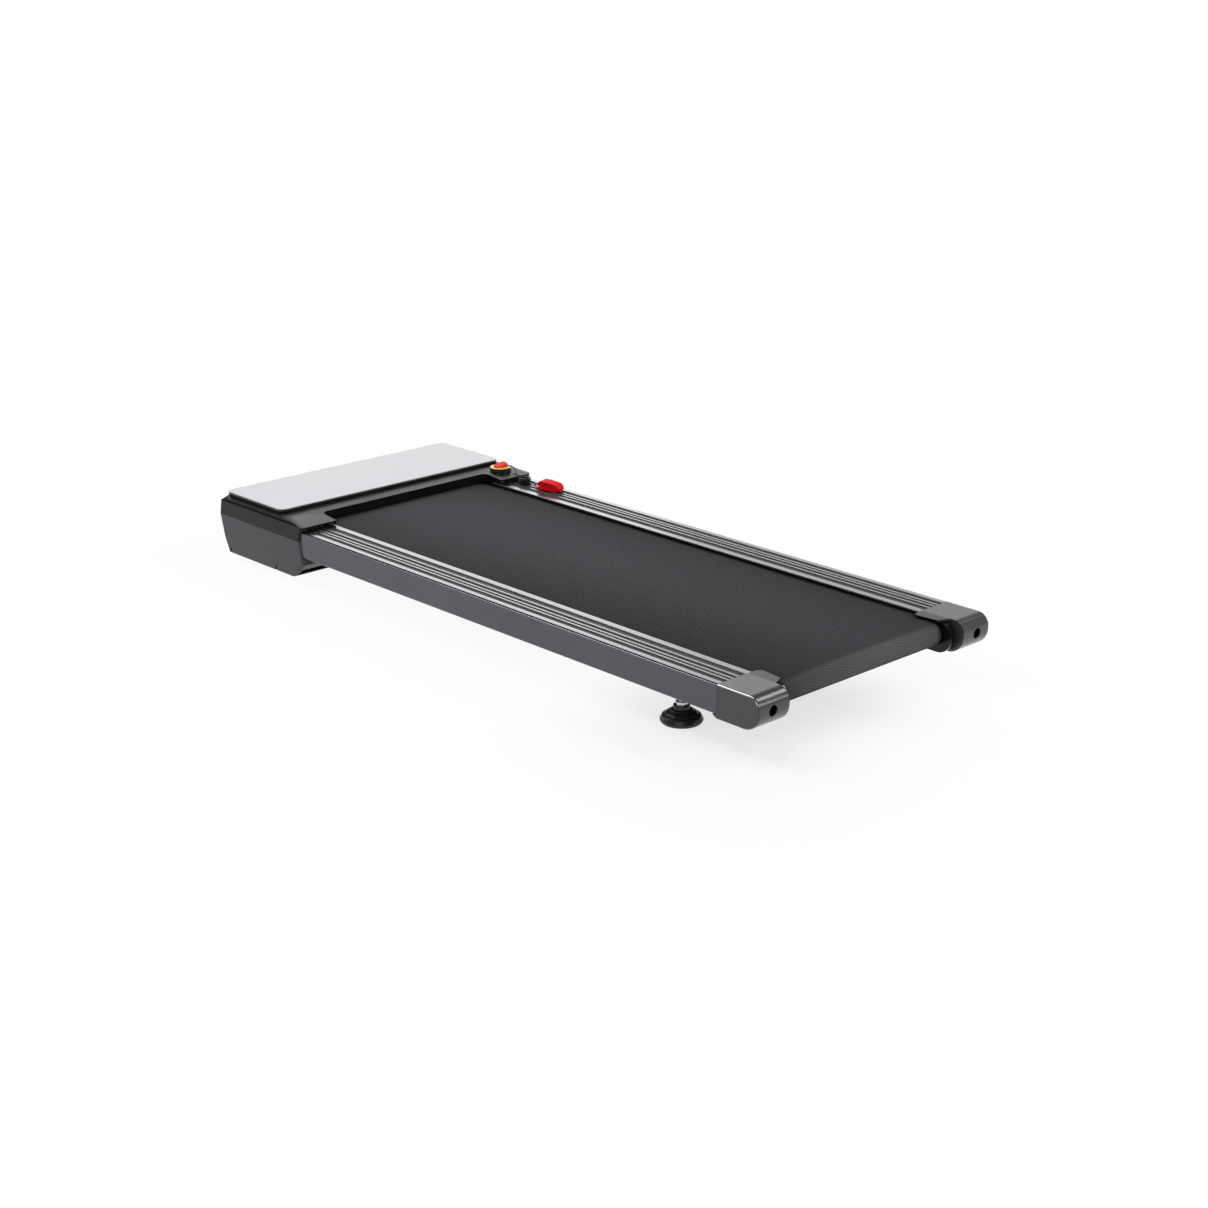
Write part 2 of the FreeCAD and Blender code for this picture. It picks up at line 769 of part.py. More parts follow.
def housing_body(wall):
    """Raked body from the bottom edge up to the plate's seat; a wall above zero gives the inside."""
    front_radius = housing_front_radius - wall
    rear_radius = housing_rear_radius - wall
    top_radius = housing_top_radius - wall
    ear_strip_length = plate_rear_y - housing_rear_y + close_clearance
    bottom_drop = overrun if wall > 0 else 0
    heel_z = housing_bottom_z + housing_heel_rise
    inside = wall > 0
    sections = [housing_section(housing_bottom_z - bottom_drop, side_tuck_bottom + wall, rear_tuck_bottom + wall,
                                front_tuck_bottom + wall, front_radius, rear_radius, inside),
                housing_section(heel_z, side_tuck_low + wall, wall, front_tuck_low + wall,
                                front_radius, rear_radius, inside),
                housing_section(housing_crease_z, wall, rear_tuck_crease + wall, wall,
                                front_radius, rear_radius, inside),
                housing_section(housing_shoulder_z - wall, side_tuck_shoulder + wall, wall,
                                front_tuck_shoulder + wall, front_radius, rear_radius, inside),
                housing_section(housing_top_z - wall, chamfer_width + wall, ear_strip_length + wall,
                                front_tuck_top + wall, top_radius, top_radius, inside)]
    return Part.makeLoft(sections, True, True)


def recess_prism(wall, z_pair):
    """Space between the ears where the belt runs in, widened by a wall."""
    half = foot_rail_inner_x + wall
    pairs = [(half, housing_rear_y - overrun), (half, housing_recess_y + wall),
             (-half, housing_recess_y + wall), (-half, housing_rear_y - overrun)]
    radius = recess_radius + wall
    return prism(points_xy(pairs, z_pair[0]), [0, radius, radius, 0], V(0, 0, z_pair[1] - z_pair[0]))


def panel_window(growth):
    x_pair = (panel_x - growth, panel_x + panel_width + growth)
    z_pair = (panel_bottom_z - growth, panel_bottom_z + panel_height + growth)
    return box(x_pair, (front_y - panel_back_inset, front_y + overrun), z_pair)


def motor_cover():
    top_z = housing_top_z + overrun
    mouth_z = belt_top_z + recess_belt_gap
    inside = housing_body(housing_wall).cut(recess_prism(housing_wall, (mouth_z, top_z)))
    cover = housing_body(0).cut(inside)
    slot_low_z = rail_bottom_z - slot_clearance
    slot_high_z = rail_top_z + slot_clearance
    slot_front_y = foot_rail_front_y + slot_clearance
    cover = cover.cut(recess_prism(0, (slot_low_z, top_z)))
    for side in (-1, 1):
        near_x = side * (foot_rail_inner_x - slot_clearance)
        far_x = side * (rail_x + running_clearance + (housing_x - housing_wall - rail_x) / 2)
        x_pair = (min(near_x, far_x), max(near_x, far_x))
        cover = cover.cut(box(x_pair, (housing_rear_y - overrun, slot_front_y), (slot_low_z, slot_high_z)))
    slits = [box((-housing_x - overrun, housing_x + overrun), (slit_y, slit_y + bottom_slit_width),
                 (housing_bottom_z - overrun, housing_bottom_z + bottom_slit_height))
             for slit_y in (housing_rear_y + bottom_slit_back, front_y - bottom_slit_front)]
    key_way = rod(key_socket_radius + close_clearance, V(key_x, key_y, rail_top_z + slot_clearance),
                  V(key_x, key_y, top_z))
    return cover.cut(slits + [key_way, panel_window(close_clearance)])


def plate_outline(inset, z):
    half = plate_x - inset
    y_high = front_y - plate_front_inset - inset
    y_low = plate_rear_y + inset
    pairs = [(half, y_low), (half, y_high), (-half, y_high), (-half, y_low)]
    return rounded_outline(points_xy(pairs, z), [plate_radius - inset] * 4)


def plate_frame():
    """Dark frame under the plate, stepped in at its foot."""
    seam = Part.Face(plate_outline(plate_seam_inset, housing_top_z)).extrude(V(0, 0, plate_seam_height))
    rim_z = housing_top_z + plate_seam_height
    rim = Part.Face(plate_outline(0, rim_z)).extrude(V(0, 0, plate_frame_height - plate_seam_height))
    return fuse_all([seam, rim])


def top_plate():
    z = housing_top_z + plate_frame_height
    return Part.Face(plate_outline(0, z)).extrude(V(0, 0, plate_thickness))


def belly_pan():
    """Sheet pan that closes the housing, with folded walls up to the rails and forks for the wheels."""
    inset = housing_wall + close_clearance
    floor = Part.Face(housing_section(housing_bottom_z, side_tuck_bottom + inset, rear_tuck_bottom + inset,
                                      front_tuck_bottom + inset, housing_front_radius - inset,
                                      housing_rear_radius - inset, True)).extrude(V(0, 0, pan_thickness))
    pieces = [floor]
    cuts = []
    wall_y = (housing_rear_y + pan_wall_rear_inset, front_y - pan_wall_front_inset - wheel_radius)
    flange_z = rail_bottom_z - close_clearance
    pan_wall_x = rail_x - pan_wall_inset
    for side in (-1, 1):
        wall_x = sorted((side * pan_wall_x, side * (pan_wall_x + pan_thickness)))
        flange_x = sorted((side * (pan_wall_x - pan_flange_width), side * pan_wall_x))
        pieces.append(box(wall_x, wall_y, (pan_top_z, flange_z)))
        pieces.append(box(flange_x, wall_y, (flange_z - pan_thickness, flange_z)))
        fork_in = wheel_width / 2 + wheel_fork_gap
        centre_x = side * wheel_x
        fork_y = (wheel_y - wheel_fork_length / 2, wheel_y + wheel_fork_length / 2)
        for hand in (-1, 1):
            fork_x = sorted((centre_x + hand * fork_in, centre_x + hand * (fork_in + wheel_fork_thickness)))
            pieces.append(box(fork_x, fork_y, (housing_bottom_z, pan_top_z + wheel_fork_height)))
        well = wheel_radius + wheel_well_gap
        cuts.append(box((centre_x - fork_in, centre_x + fork_in), (wheel_y - well, wheel_y + well),
                        (housing_bottom_z - overrun, pan_top_z + overrun)))
        cuts.append(wheel_axle_rod(side, running_clearance))
    for corner in board_corners():
        pieces.append(hexagon(pan_post_flats, pan_thickness + board_post_height,
                              V(corner[0], corner[1], housing_bottom_z), Z_AXIS))
    vent_x = board_x + board_length / 2 - pan_vent_pitch * (pan_vent_count - 1) / 2
    vent_y = front_y - board_rear_inset + board_width / 2
    for k in range(pan_vent_count):
        x = vent_x + k * pan_vent_pitch
        cuts.append(box((x - pan_vent_width / 2, x + pan_vent_width / 2),
                        (vent_y - pan_vent_length / 2, vent_y + pan_vent_length / 2),
                        (housing_bottom_z - overrun, pan_top_z + close_clearance)))
    return fuse_all(pieces).cut(cuts)


# Motor and belt drive

def pulley_centre_x():
    return -(belt_x + pulley_gap + pulley_width / 2)


def flanged_rim(radius, start):
    """Rim profile of a belt pulley: a flat run between two flanges."""
    flange = radius + pulley_flange_rise
    end = start + pulley_width
    return [(flange, start), (flange, start + pulley_flange_width), (radius, start + pulley_flange_width),
            (radius, end - pulley_flange_width), (flange, end - pulley_flange_width), (flange, end)]


def roller_pulley():
    """Large pulley with a spigot that seats in the front roller's end."""
    start = pulley_centre_x() - pulley_width / 2
    bore = shaft_radius + pulley_shaft_clearance
    spigot_end = -roller_half + pulley_spigot
    pairs = [(bore, start)] + flanged_rim(roller_pulley_radius, start)
    pairs = pairs + [(bearing_radius, start + pulley_width), (bearing_radius, spigot_end), (bore, spigot_end)]
    return turned(pairs, V(0, front_axle_y, axle_z), X_AXIS)


def motor_case():
    """Motor can with stepped end bells and a blind bore for the shaft."""
    end_radius = motor_radius - motor_end_step
    length = motor_end_x - motor_x
    pairs = [(0, 0), (end_radius, 0), (end_radius, motor_end_depth), (motor_radius, motor_end_depth),
             (motor_radius, length - motor_end_depth), (end_radius, length - motor_end_depth),
             (end_radius, length), (0, length)]
    case = turned(pairs, V(motor_x, motor_axis_y, motor_axis_z), X_AXIS)
    bore = rod(motor_shaft_radius + running_clearance, V(motor_x - overrun, motor_axis_y, motor_axis_z),
               V(motor_x + motor_shaft_engagement + running_clearance, motor_axis_y, motor_axis_z))
    return case.cut(bore)


def motor_shaft():
    start_x = pulley_centre_x() - pulley_width / 2
    return rod(motor_shaft_radius, V(start_x, motor_axis_y, motor_axis_z),
               V(motor_x + motor_shaft_engagement, motor_axis_y, motor_axis_z))


def motor_pulley():
    """Small pulley in one piece with the flywheel."""
    start = pulley_centre_x() - pulley_width / 2
    bore = motor_shaft_radius + running_clearance
    wheel_end = motor_x - slot_clearance
    wheel_start = wheel_end - flywheel_width
    pairs = [(bore, start)] + flanged_rim(motor_pulley_radius, start)
    pairs = pairs + [(motor_pulley_radius, start + pulley_width), (motor_pulley_radius, wheel_start),
                     (flywheel_radius, wheel_start), (flywheel_radius, wheel_end), (bore, wheel_end)]
    return turned(pairs, V(0, motor_axis_y, motor_axis_z), X_AXIS)


def drive_loop(growth):
    """Closed loop round both pulleys, each circle grown by the same amount."""
    big = roller_pulley_radius + growth
    small = motor_pulley_radius + growth
    run_y = motor_axis_y - front_axle_y
    run_z = motor_axis_z - axle_z
    heading = math.atan2(run_z, run_y)
    spread = math.acos((big - small) / math.hypot(run_y, run_z))
    x = pulley_centre_x() - drive_belt_width / 2

    def on_big(angle):
        return V(x, front_axle_y + big * math.cos(angle), axle_z + big * math.sin(angle))

    def on_small(angle):
        return V(x, motor_axis_y + small * math.cos(angle), motor_axis_z + small * math.sin(angle))

    upper = heading + spread
    lower = heading - spread
    edges = [Part.Arc(on_big(upper), on_big(heading + math.pi), on_big(lower)),
             Part.LineSegment(on_big(lower), on_small(lower)),
             Part.Arc(on_small(lower), on_small(heading), on_small(upper)),
             Part.LineSegment(on_small(upper), on_big(upper))]
    return Part.Face(Part.Wire([edge.toShape() for edge in edges])).extrude(V(drive_belt_width, 0, 0))


def drive_belt():
    return drive_loop(close_clearance + drive_belt_thickness).cut(drive_loop(close_clearance))


def motor_mount():
    """Base plate with two straps round the motor."""
    base_z = (pan_top_z + close_clearance, pan_top_z + close_clearance + mount_base_thickness)
    strap_starts = (motor_x + mount_strap_inset, motor_end_x - mount_strap_inset - mount_strap_width)
    overhang = mount_strap_inset - mount_base_margin
    x_pair = (motor_x + overhang, motor_end_x - overhang)
    half_y = motor_radius + mount_base_margin
    pieces = [box(x_pair, (motor_axis_y - half_y, motor_axis_y + half_y), base_z)]
    seat = motor_radius + close_clearance
    cuts = []
    for start in strap_starts:
        centre = V(start, motor_axis_y, motor_axis_z)
        run = V(mount_strap_width, 0, 0)
        pieces.append(rod(seat + mount_strap_thickness, centre, centre + run))
        pieces.append(box((start, start + mount_strap_width), (motor_axis_y - seat, motor_axis_y + seat),
                          (base_z[1], motor_axis_z - seat / 2)))
        cuts.append(rod(seat, centre - run, centre + run * 2))
    mount = fuse_all(pieces)
    below = box((x_pair[0] - overrun, x_pair[1] + overrun), (motor_axis_y - 2 * seat, motor_axis_y + 2 * seat),
                (base_z[0] - seat, base_z[0]))
    return mount.cut(cuts + [below])


# Controller

def board_corners():
    x_pair = (board_x + board_post_inset, board_x + board_length - board_post_inset)
    rear = front_y - board_rear_inset
    y_pair = (rear + board_post_inset, rear + board_width - board_post_inset)
    return [(x, y) for x in x_pair for y in y_pair]


def board_bottom_z():
    return pan_top_z + board_post_height


def controller_board():
    rear = front_y - board_rear_inset
    top_z = board_bottom_z() + board_thickness
    board = box((board_x, board_x + board_length), (rear, rear + board_width), (board_bottom_z(), top_z))
    solids = [board]
    for k in range(2):
        foot = V(board_x + board_length - capacitor_pitch * (k + 1), rear + board_width - capacitor_pitch, top_z)
        pairs = [(0, 0), (capacitor_radius, 0), (capacitor_radius, capacitor_height), (0, capacitor_height)]
        solids.append(turned(pairs, foot, Z_AXIS))
    return Part.makeCompound(solids)


def heat_sink():
    """Finned block drawn as one comb outline."""
    rear = front_y - board_rear_inset + board_post_inset * 2
    start = board_x + board_post_inset * 2
    foot_z = board_bottom_z() + board_thickness
    pitch = sink_width / sink_fin_count
    pairs = [(rear, foot_z)]
    for k in range(sink_fin_count):
        fin = rear + k * pitch
        pairs.append((fin, foot_z + sink_height))
        pairs.append((fin + pitch * sink_fin_share, foot_z + sink_height))
        pairs.append((fin + pitch * sink_fin_share, foot_z + sink_base))
        if k < sink_fin_count - 1:
            pairs.append((fin + pitch, foot_z + sink_base))
    pairs.append((pairs[-1][0], foot_z))
    return sharp_prism(points_yz(pairs, start), V(sink_length, 0, 0))


# Power panel, mains inlet and switch

def panel_face_y():
    return front_y - panel_back_inset + panel_depth


def inlet_centre():
    return V(panel_x + panel_width * inlet_share, panel_face_y(), panel_bottom_z + panel_height / 2)


def switch_centre():
    return V(panel_x + panel_width * switch_share, panel_face_y(), panel_bottom_z + panel_height / 2)


def centred_box(centre, width, y_pair, height):
    return box((centre.x - width / 2, centre.x + width / 2), (centre.y + y_pair[0], centre.y + y_pair[1]),
               (centre.z - height / 2, centre.z + height / 2))


def power_panel():
    """Tray set into the front wall, its rim flush with the housing."""
    tray = panel_window(0).common(housing_body(0))
    x_pair = (panel_x + panel_wall, panel_x + panel_width - panel_wall)
    z_pair = (panel_bottom_z + panel_wall, panel_bottom_z + panel_height - panel_wall)
    pocket = box(x_pair, (panel_face_y(), front_y + overrun), z_pair)
    behind = (-panel_depth - overrun, overrun)
    room = 2 * running_clearance
    inlet_way = centred_box(inlet_centre(), inlet_width + room, behind, inlet_height + room)
    switch_way = centred_box(switch_centre(), switch_width + room, behind, switch_height + room)
    return tray.cut([pocket, inlet_way, switch_way])


def power_inlet():
    """Three-pin appliance inlet: a socket box with a flange and blades."""
    centre = inlet_centre()
    body = centred_box(centre, inlet_width, (-inlet_depth, inlet_flange), inlet_height)
    rim = centred_box(centre, inlet_width + 2 * inlet_flange, (0, inlet_flange), inlet_height + 2 * inlet_flange)
    shell = fuse_all([body, rim])
    cavity = centred_box(centre, inlet_width - 2 * inlet_wall,
                         (inlet_floor - inlet_depth, inlet_flange + overrun),
                         inlet_height - 2 * inlet_wall)
    shell = shell.cut(cavity)
    rise = inlet_pin_height / 2
    places = [(-inlet_pin_pitch, -rise), (0, rise), (inlet_pin_pitch, -rise)]
    blades = []
    for dx, dz in places:
        blades.append(centred_box(centre + V(dx, 0, dz), inlet_pin_width,
                                  (-inlet_depth + inlet_floor / 2, -inlet_depth + inlet_floor + inlet_pin_length),
                                  inlet_pin_height))
    return fuse_all([shell] + blades)


def switch_body():
    centre = switch_centre()
    body = centred_box(centre, switch_width, (-switch_depth, switch_flange), switch_height)
    rim = centred_box(centre, switch_width + 2 * switch_flange, (0, switch_flange),
                      switch_height + 2 * switch_flange)
    shell = fuse_all([body, rim])
    half = V(rocker_width / 2 + close_clearance, 0, 0)
    cavity = rod(rocker_radius + close_clearance, centre - half, centre + half)
    reach = V(rocker_width / 2 + rocker_pin_reach + running_clearance, 0, 0)
    pin_way = rod(rocker_pin_radius + running_clearance, centre - reach, centre + reach)
    return shell.cut([cavity, pin_way])


def switch_rocker():
    """Round-bottomed rocker with raised ends, tilted to its off side."""
    centre = switch_centre()
    x = centre.x - rocker_width / 2
    shoulder = math.sqrt(rocker_radius ** 2 - rocker_rise ** 2)
    low = V(x, centre.y + rocker_rise, centre.z - shoulder)
    high = V(x, centre.y + rocker_rise, centre.z + shoulder)
    back = V(x, centre.y - rocker_radius, centre.z)
    dip = V(x, centre.y + rocker_dip, centre.z)
    edges = [Part.Arc(low, back, high), Part.LineSegment(high, dip), Part.LineSegment(dip, low)]
    rocker = Part.Face(Part.Wire([edge.toShape() for edge in edges])).extrude(V(rocker_width, 0, 0))
    reach = V(rocker_width / 2 + rocker_pin_reach, 0, 0)
    rocker = fuse_all([rocker, rod(rocker_pin_radius, centre - reach, centre + reach)])
    rocker.rotate(centre, X_AXIS, rocker_tilt_deg)
    return rocker


# Transport wheels and front feet

def transport_wheel():
    """Moulded wheel with a hub, a dished web and a rim."""
    half = wheel_width / 2
    bore = wheel_axle_radius + running_clearance
    rim = wheel_radius - wheel_rim_width
    pairs = [(bore, -half), (wheel_hub_radius, -half), (wheel_hub_radius, wheel_dish - half),
             (rim, wheel_dish - half), (rim, -half), (wheel_radius, -half), (wheel_radius, half), (bore, half)]
    return turned(pairs, V(wheel_x, wheel_y, wheel_z), X_AXIS)


def wheel_axle_rod(side, growth):
    half = wheel_width / 2 + wheel_fork_gap + wheel_fork_thickness + wheel_axle_head
    centre = V(side * wheel_x, wheel_y, wheel_z)
    return rod(wheel_axle_radius + growth, centre - V(half, 0, 0), centre + V(half, 0, 0))


def wheel_axles():
    return Part.makeCompound([wheel_axle_rod(side, 0) for side in (-1, 1)])


def front_feet():
    """Rubber feet under the pan, hollowed round their screws."""
    feet = []
    for side in (-1, 1):
        base = V(side * (rail_x - front_foot_side_inset), front_y - front_foot_inset, 0)
        screw_way = rod(front_foot_recess, base - V(0, 0, overrun), base + V(0, 0, housing_bottom_z / 2))
        feet.append(rod(front_foot_radius, base, base + V(0, 0, housing_bottom_z)).cut(screw_way))
    return Part.makeCompound(feet)


# Levelling feet

def foot_pad():
    """Round pad: rim, shoulder and cone up to a stepped collar, hollow from below."""
    seat_z = pad_height - stud_seat_depth
    bore = stud_radius + running_clearance
    pairs = [(0, pad_well_height), (pad_well_radius, pad_well_height), (pad_well_radius, 0),
             (pad_base_radius, 0), (pad_radius, pad_rim_height), (pad_shoulder_radius, pad_shoulder_height),
             (pad_neck_radius, pad_neck_height), (pad_collar_radius, pad_neck_height),
             (pad_collar_radius, pad_height), (bore, pad_height), (bore, seat_z), (0, seat_z)]
    return turned(pairs, V(foot_x, foot_y, 0), Z_AXIS)


def foot_stud():
    """Threaded stud with the hexagon that turns it."""
    seat_z = pad_height - stud_seat_depth + running_clearance
    base = V(foot_x, foot_y, seat_z)
    stud = rod(stud_radius, base, base + V(0, 0, stud_length))
    collar_base = V(foot_x, foot_y, pad_height + running_clearance)
    collar = hexagon(stud_hex_flats, stud_hex_height, collar_base, Z_AXIS)
    return fuse_all([stud, collar])


def foot_nuts():
    base_z = rail_bottom_z + rail_wall
    nuts = []
    for side in (-1, 1):
        base = V(side * foot_x, foot_y, base_z)
        nut = hexagon(weld_nut_flats, weld_nut_height, base, Z_AXIS)
        reach = V(0, 0, weld_nut_height + overrun)
        bore = rod(stud_radius + running_clearance, base - reach, base + reach)
        nuts.append(nut.cut(bore))
    return Part.makeCompound(nuts)


# Safety key

def key_socket():
    top = V(key_x, key_y, key_socket_top_z)
    return rod(key_socket_radius, top - V(0, 0, key_socket_depth), top)


def key_disc():
    base = V(key_x, key_y, key_bottom_z)
    pocket = rod(key_magnet_radius + running_clearance, base - V(0, 0, overrun),
                 base + V(0, 0, key_magnet_thickness + running_clearance))
    return rod(key_radius, base, base + V(0, 0, key_thickness)).cut(pocket)


def key_magnet():
    base = V(key_x, key_y, key_bottom_z)
    return rod(key_magnet_radius, base, base + V(0, 0, key_magnet_thickness))


def key_grip():
    """Wedge grip: a round-ended block cut by a slope that climbs to its tip."""
    half = key_grip_length / 2
    tip = half * key_grip_tip_share
    top = key_grip_low + key_grip_rise
    pairs = [(-half, 0), (half, 0), (half, key_grip_low + key_grip_rise / 2), (tip, top), (-half, key_grip_low)]
    wedge = sharp_prism(points_xz(pairs, -key_grip_width), V(0, 2 * key_grip_width, 0))
    side = key_grip_width / 2
    corners = [(half, -side), (half, side), (-half, side), (-half, -side)]
    grip = wedge.common(prism(points_xy(corners), [side] * 4, V(0, 0, top + overrun)))
    grip.rotate(V(0, 0, 0), Z_AXIS, key_heading_deg)
    grip.translate(V(key_x, key_y, key_top_z))
    return grip


# Lanyard cord

def lanyard_point(offset):
    """Place given from the rail's outer top edge where the housing starts."""
    return V(rail_x, housing_rear_y, rail_top_z) + V(*offset)


def route_edges(points, label):
    """Straight runs joined by the largest tangent arcs that the runs allow."""
    corners = []
    radii = []
    for before, point, after in zip(points, points[1:], points[2:]):
        run_in = point - before
        run_out = after - point
        turn = run_in.getAngle(run_out)
        reach = 0.45 * min(run_in.Length, run_out.Length)
        radius = reach / math.tan(turn / 2)
        to_before = (before - point).normalize()
        to_after = (after - point).normalize()
        inward = (to_before + to_after).normalize()
        middle = point + inward * (radius / math.cos(turn / 2) - radius)
        corners.append((point + to_before * reach, middle, point + to_after * reach))
        radii.append(round(radius, 1))
    print(label, "radii", radii)
    edges = []
    here = points[0]
    for entry, middle, leave in corners:
        edges.append(Part.LineSegment(here, entry).toShape())
        edges.append(Part.Arc(entry, middle, leave).toShape())
        here = leave
    edges.append(Part.LineSegment(here, points[-1]).toShape())
    return edges


def tube(edges, label):
    """Six-sided cord along joined edges, with its volume compared with section times length."""
    path = Part.Wire(edges)
    start = edges[0].valueAt(edges[0].FirstParameter)
    heading = edges[0].tangentAt(edges[0].FirstParameter)
    section = hexagon(cord_radius * math.sqrt(3), cord_radius, start, heading).Faces
    ends = [face.OuterWire for face in section if face.CenterOfMass.distanceToPoint(start) < same_point]
    solid = path.makePipeShell(ends, True, False)
    wanted = Part.Face(ends[0]).Area * path.Length
    share = round(solid.Volume / wanted, 4)
    print(label, "length", round(path.Length, 1), "volume share", share, solid.isValid())
    return solid


def coil_stations():
    """Points and headings of the coil at every half turn, from its top layer down to the rail."""
    layers = len(coil_layer_half_turns)
    radius = coil_outer_radius
    height = coil_floor_z + coil_layer_step * (layers - 1)
    angle = math.radians(coil_start_deg)
    inward = True
    centre = lanyard_point((coil_place[0], coil_place[1], 0))
    stations = []

    def add():
        place = V(centre.x + radius * math.cos(angle), centre.y + radius * math.sin(angle), height)
        stations.append((place, V(math.sin(angle), -math.cos(angle), 0)))

    add()
    for layer, half_turns in enumerate(coil_layer_half_turns):
        for k in range(half_turns):
            radius += (-0.5 if inward else 0.5) * coil_turn_step
            angle -= math.pi
            add()
        if layer < layers - 1:
            height -= coil_layer_step
            angle -= math.pi
            add()
            inward = not inward
    return stations


def biarc(start, start_heading, end, end_heading):
    """Two tangent arcs between two points with given headings."""
    chord = end - start
    headings = start_heading + end_heading
    square = 2 * (1 - start_heading.dot(end_heading))
    along = chord.dot(headings)
    reach = (-along + math.sqrt(along ** 2 + square * chord.dot(chord))) / square
    joint = (start + start_heading * reach + end - end_heading * reach) * 0.5
    edges = []
    for here, heading, there in ((start, start_heading, joint), (end, end_heading * -1, joint)):
        arc = arc_from(here, heading, there)
        edges.append(arc)
    first = edges[0]
    second = edges[1]
    return [Part.Arc(first[0], first[1], first[2]).toShape(),
            Part.Arc(second[2], second[1], second[0]).toShape()]


def arc_from(start, heading, end):
    """Start, middle and end of the arc that leaves start along heading and reaches end."""
    chord = end - start
    across = chord - heading * chord.dot(heading)
    if across.Length < same_point:
        return start, start + chord * 0.5, end
    radius = chord.dot(chord) / (2 * across.Length)
    side = across.normalize()
    centre = start + side * radius
    middle = centre + ((start + chord * 0.5) - centre).normalize() * radius
    if chord.dot(heading) < 0:
        middle = centre - (middle - centre)
    return start, middle, end


def coil_edges():
    """The whole coil as one path, with a straight end of one cord diameter at each end."""
    stations = coil_stations()
    lead = stations[0][1] * (2 * cord_radius)
    edges = [Part.LineSegment(stations[0][0] - lead, stations[0][0]).toShape()]
    for (start, start_heading), (end, end_heading) in zip(stations, stations[1:]):
        edges += biarc(start, start_heading, end, end_heading)
    tail = stations[-1][1] * (2 * cord_radius)
    edges.append(Part.LineSegment(stations[-1][0], stations[-1][0] + tail).toShape())
    return edges


def least_self_gap(edges):
    """Smallest distance between the surfaces of turns that lie beside each other."""
    samples = []
    travelled = 0.0
    for edge in edges:
        count = max(2, int(edge.Length / cord_radius))
        for k in range(count):
            share = k / count
            span = edge.LastParameter - edge.FirstParameter
            samples.append((travelled + edge.Length * share, edge.valueAt(edge.FirstParameter + span * share)))
        travelled += edge.Length
    least = travelled
    apart = math.pi * coil_outer_radius / 2
    for index, (here, point) in enumerate(samples):
        for there, other in samples[index + 1:]:
            if there - here > apart:
                least = min(least, point.distanceToPoint(other))
    return least - 2 * cord_radius


def lanyard_coil():
    edges = coil_edges()
    print("coil least gap to itself", round(least_self_gap(edges), 2))
    return tube(edges, "coil")


def lanyard_lead():
    stations = coil_stations()
    end = stations[0][0] - stations[0][1] * (2 * cord_radius)
    before = end - stations[0][1] * (4 * cord_radius)
    points = [lanyard_point(offset) for offset in lead_route] + [before, end]
    return tube(route_edges(points, "lead"), "lead")


def tail_points():
    """Cord from the coil's end to the clip, square to the clip's end face."""
    stations = coil_stations()
    start = stations[-1][0] + stations[-1][1] * (2 * cord_radius)
    after = start + stations[-1][1] * (4 * cord_radius)
    heading = math.radians(clip_heading_deg - 90)
    along = V(math.cos(heading), math.sin(heading), 0)
    clip_middle = clip_origin() + V(0, 0, (clip_end_low + clip_end_high) / 2)
    end = clip_middle - along * (clip_length / 2 + close_clearance)
    return [start, after] + [lanyard_point(offset) for offset in tail_route] + [end - along * ferrule_run, end]


def lanyard_tail():
    return tube(route_edges(tail_points(), "tail"), "tail")


def lanyard_ferrule():
    """Metal sleeve crimped on the cord before the clip."""
    before, end = tail_points()[-2:]
    heading = (end - before).normalize()
    outlet = end - heading * close_clearance
    sleeve = rod(ferrule_radius, outlet - heading * ferrule_length, outlet)
    return sleeve.cut(rod(cord_radius + running_clearance, outlet - heading * (ferrule_length + overrun), end))


# Garment clip

def clip_origin():
    place = lanyard_point((clip_place[0], clip_place[1], 0))
    return V(place.x, place.y, clip_floor_z)


def clip_placed(shape):
    """From the clip's own frame (bite end along +X, up +Z, on the floor of its place) to the rail."""
    shape.rotate(V(0, 0, 0), Z_AXIS, clip_heading_deg - 90)
    shape.translate(clip_origin())
    return shape


def clip_plan(z_pair):
    half_u = clip_length / 2
    half_v = clip_width / 2
    pairs = [(half_u, -half_v), (half_u, half_v), (-half_u, half_v), (-half_u, -half_v)]
    return prism(points_xy(pairs, z_pair[0]), [clip_corner_radius] * 4, V(0, 0, z_pair[1] - z_pair[0]))


def clip_jaw(profile):
    block = sharp_prism(points_xz(profile, -clip_width), V(0, 2 * clip_width, 0))
    return block.common(clip_plan((-overrun, clip_top_height + clip_handle_rise + overrun)))


def clip_pivot():
    return V(clip_length * clip_pivot_share, 0, clip_pivot_height)


def clip_pin_rod(growth):
    half = V(0, clip_width / 2 - running_clearance + growth, 0)
    return rod(clip_pin_radius + growth, clip_pivot() - half, clip_pivot() + half)


def clip_ears(growth, swing_room):
    """Two round-topped ears of the lower jaw that carry the pin; growth and swing room open their slots."""
    pivot = clip_pivot()
    outer_v = clip_width / 2 + growth
    inner_v = clip_width / 2 - clip_ear_thickness - growth
    half_u = clip_ear_radius + swing_room
    ears = []
    for v_pair in ((inner_v, outer_v), (-outer_v, -inner_v)):
        stem = box((pivot.x - half_u, pivot.x + half_u), v_pair, (clip_lower_height / 2, pivot.z))
        crown = rod(clip_ear_radius + growth, V(pivot.x, v_pair[0], pivot.z), V(pivot.x, v_pair[1], pivot.z))
        ears.append(fuse_all([stem, crown]))
    return ears


def clip_lower_jaw():
    half = clip_length / 2
    end = clip_length * clip_end_share
    u = clip_pivot().x
    profile = [(half - end, 0), (half, clip_lower_height / 2), (half, clip_lower_height), (u, clip_lower_height),
               (-half, clip_end_high), (-half, clip_end_low), (-half + end, 0)]
    jaw = fuse_all([clip_jaw(profile)] + clip_ears(0, 0))
    return clip_placed(jaw.cut(clip_pin_rod(running_clearance)))


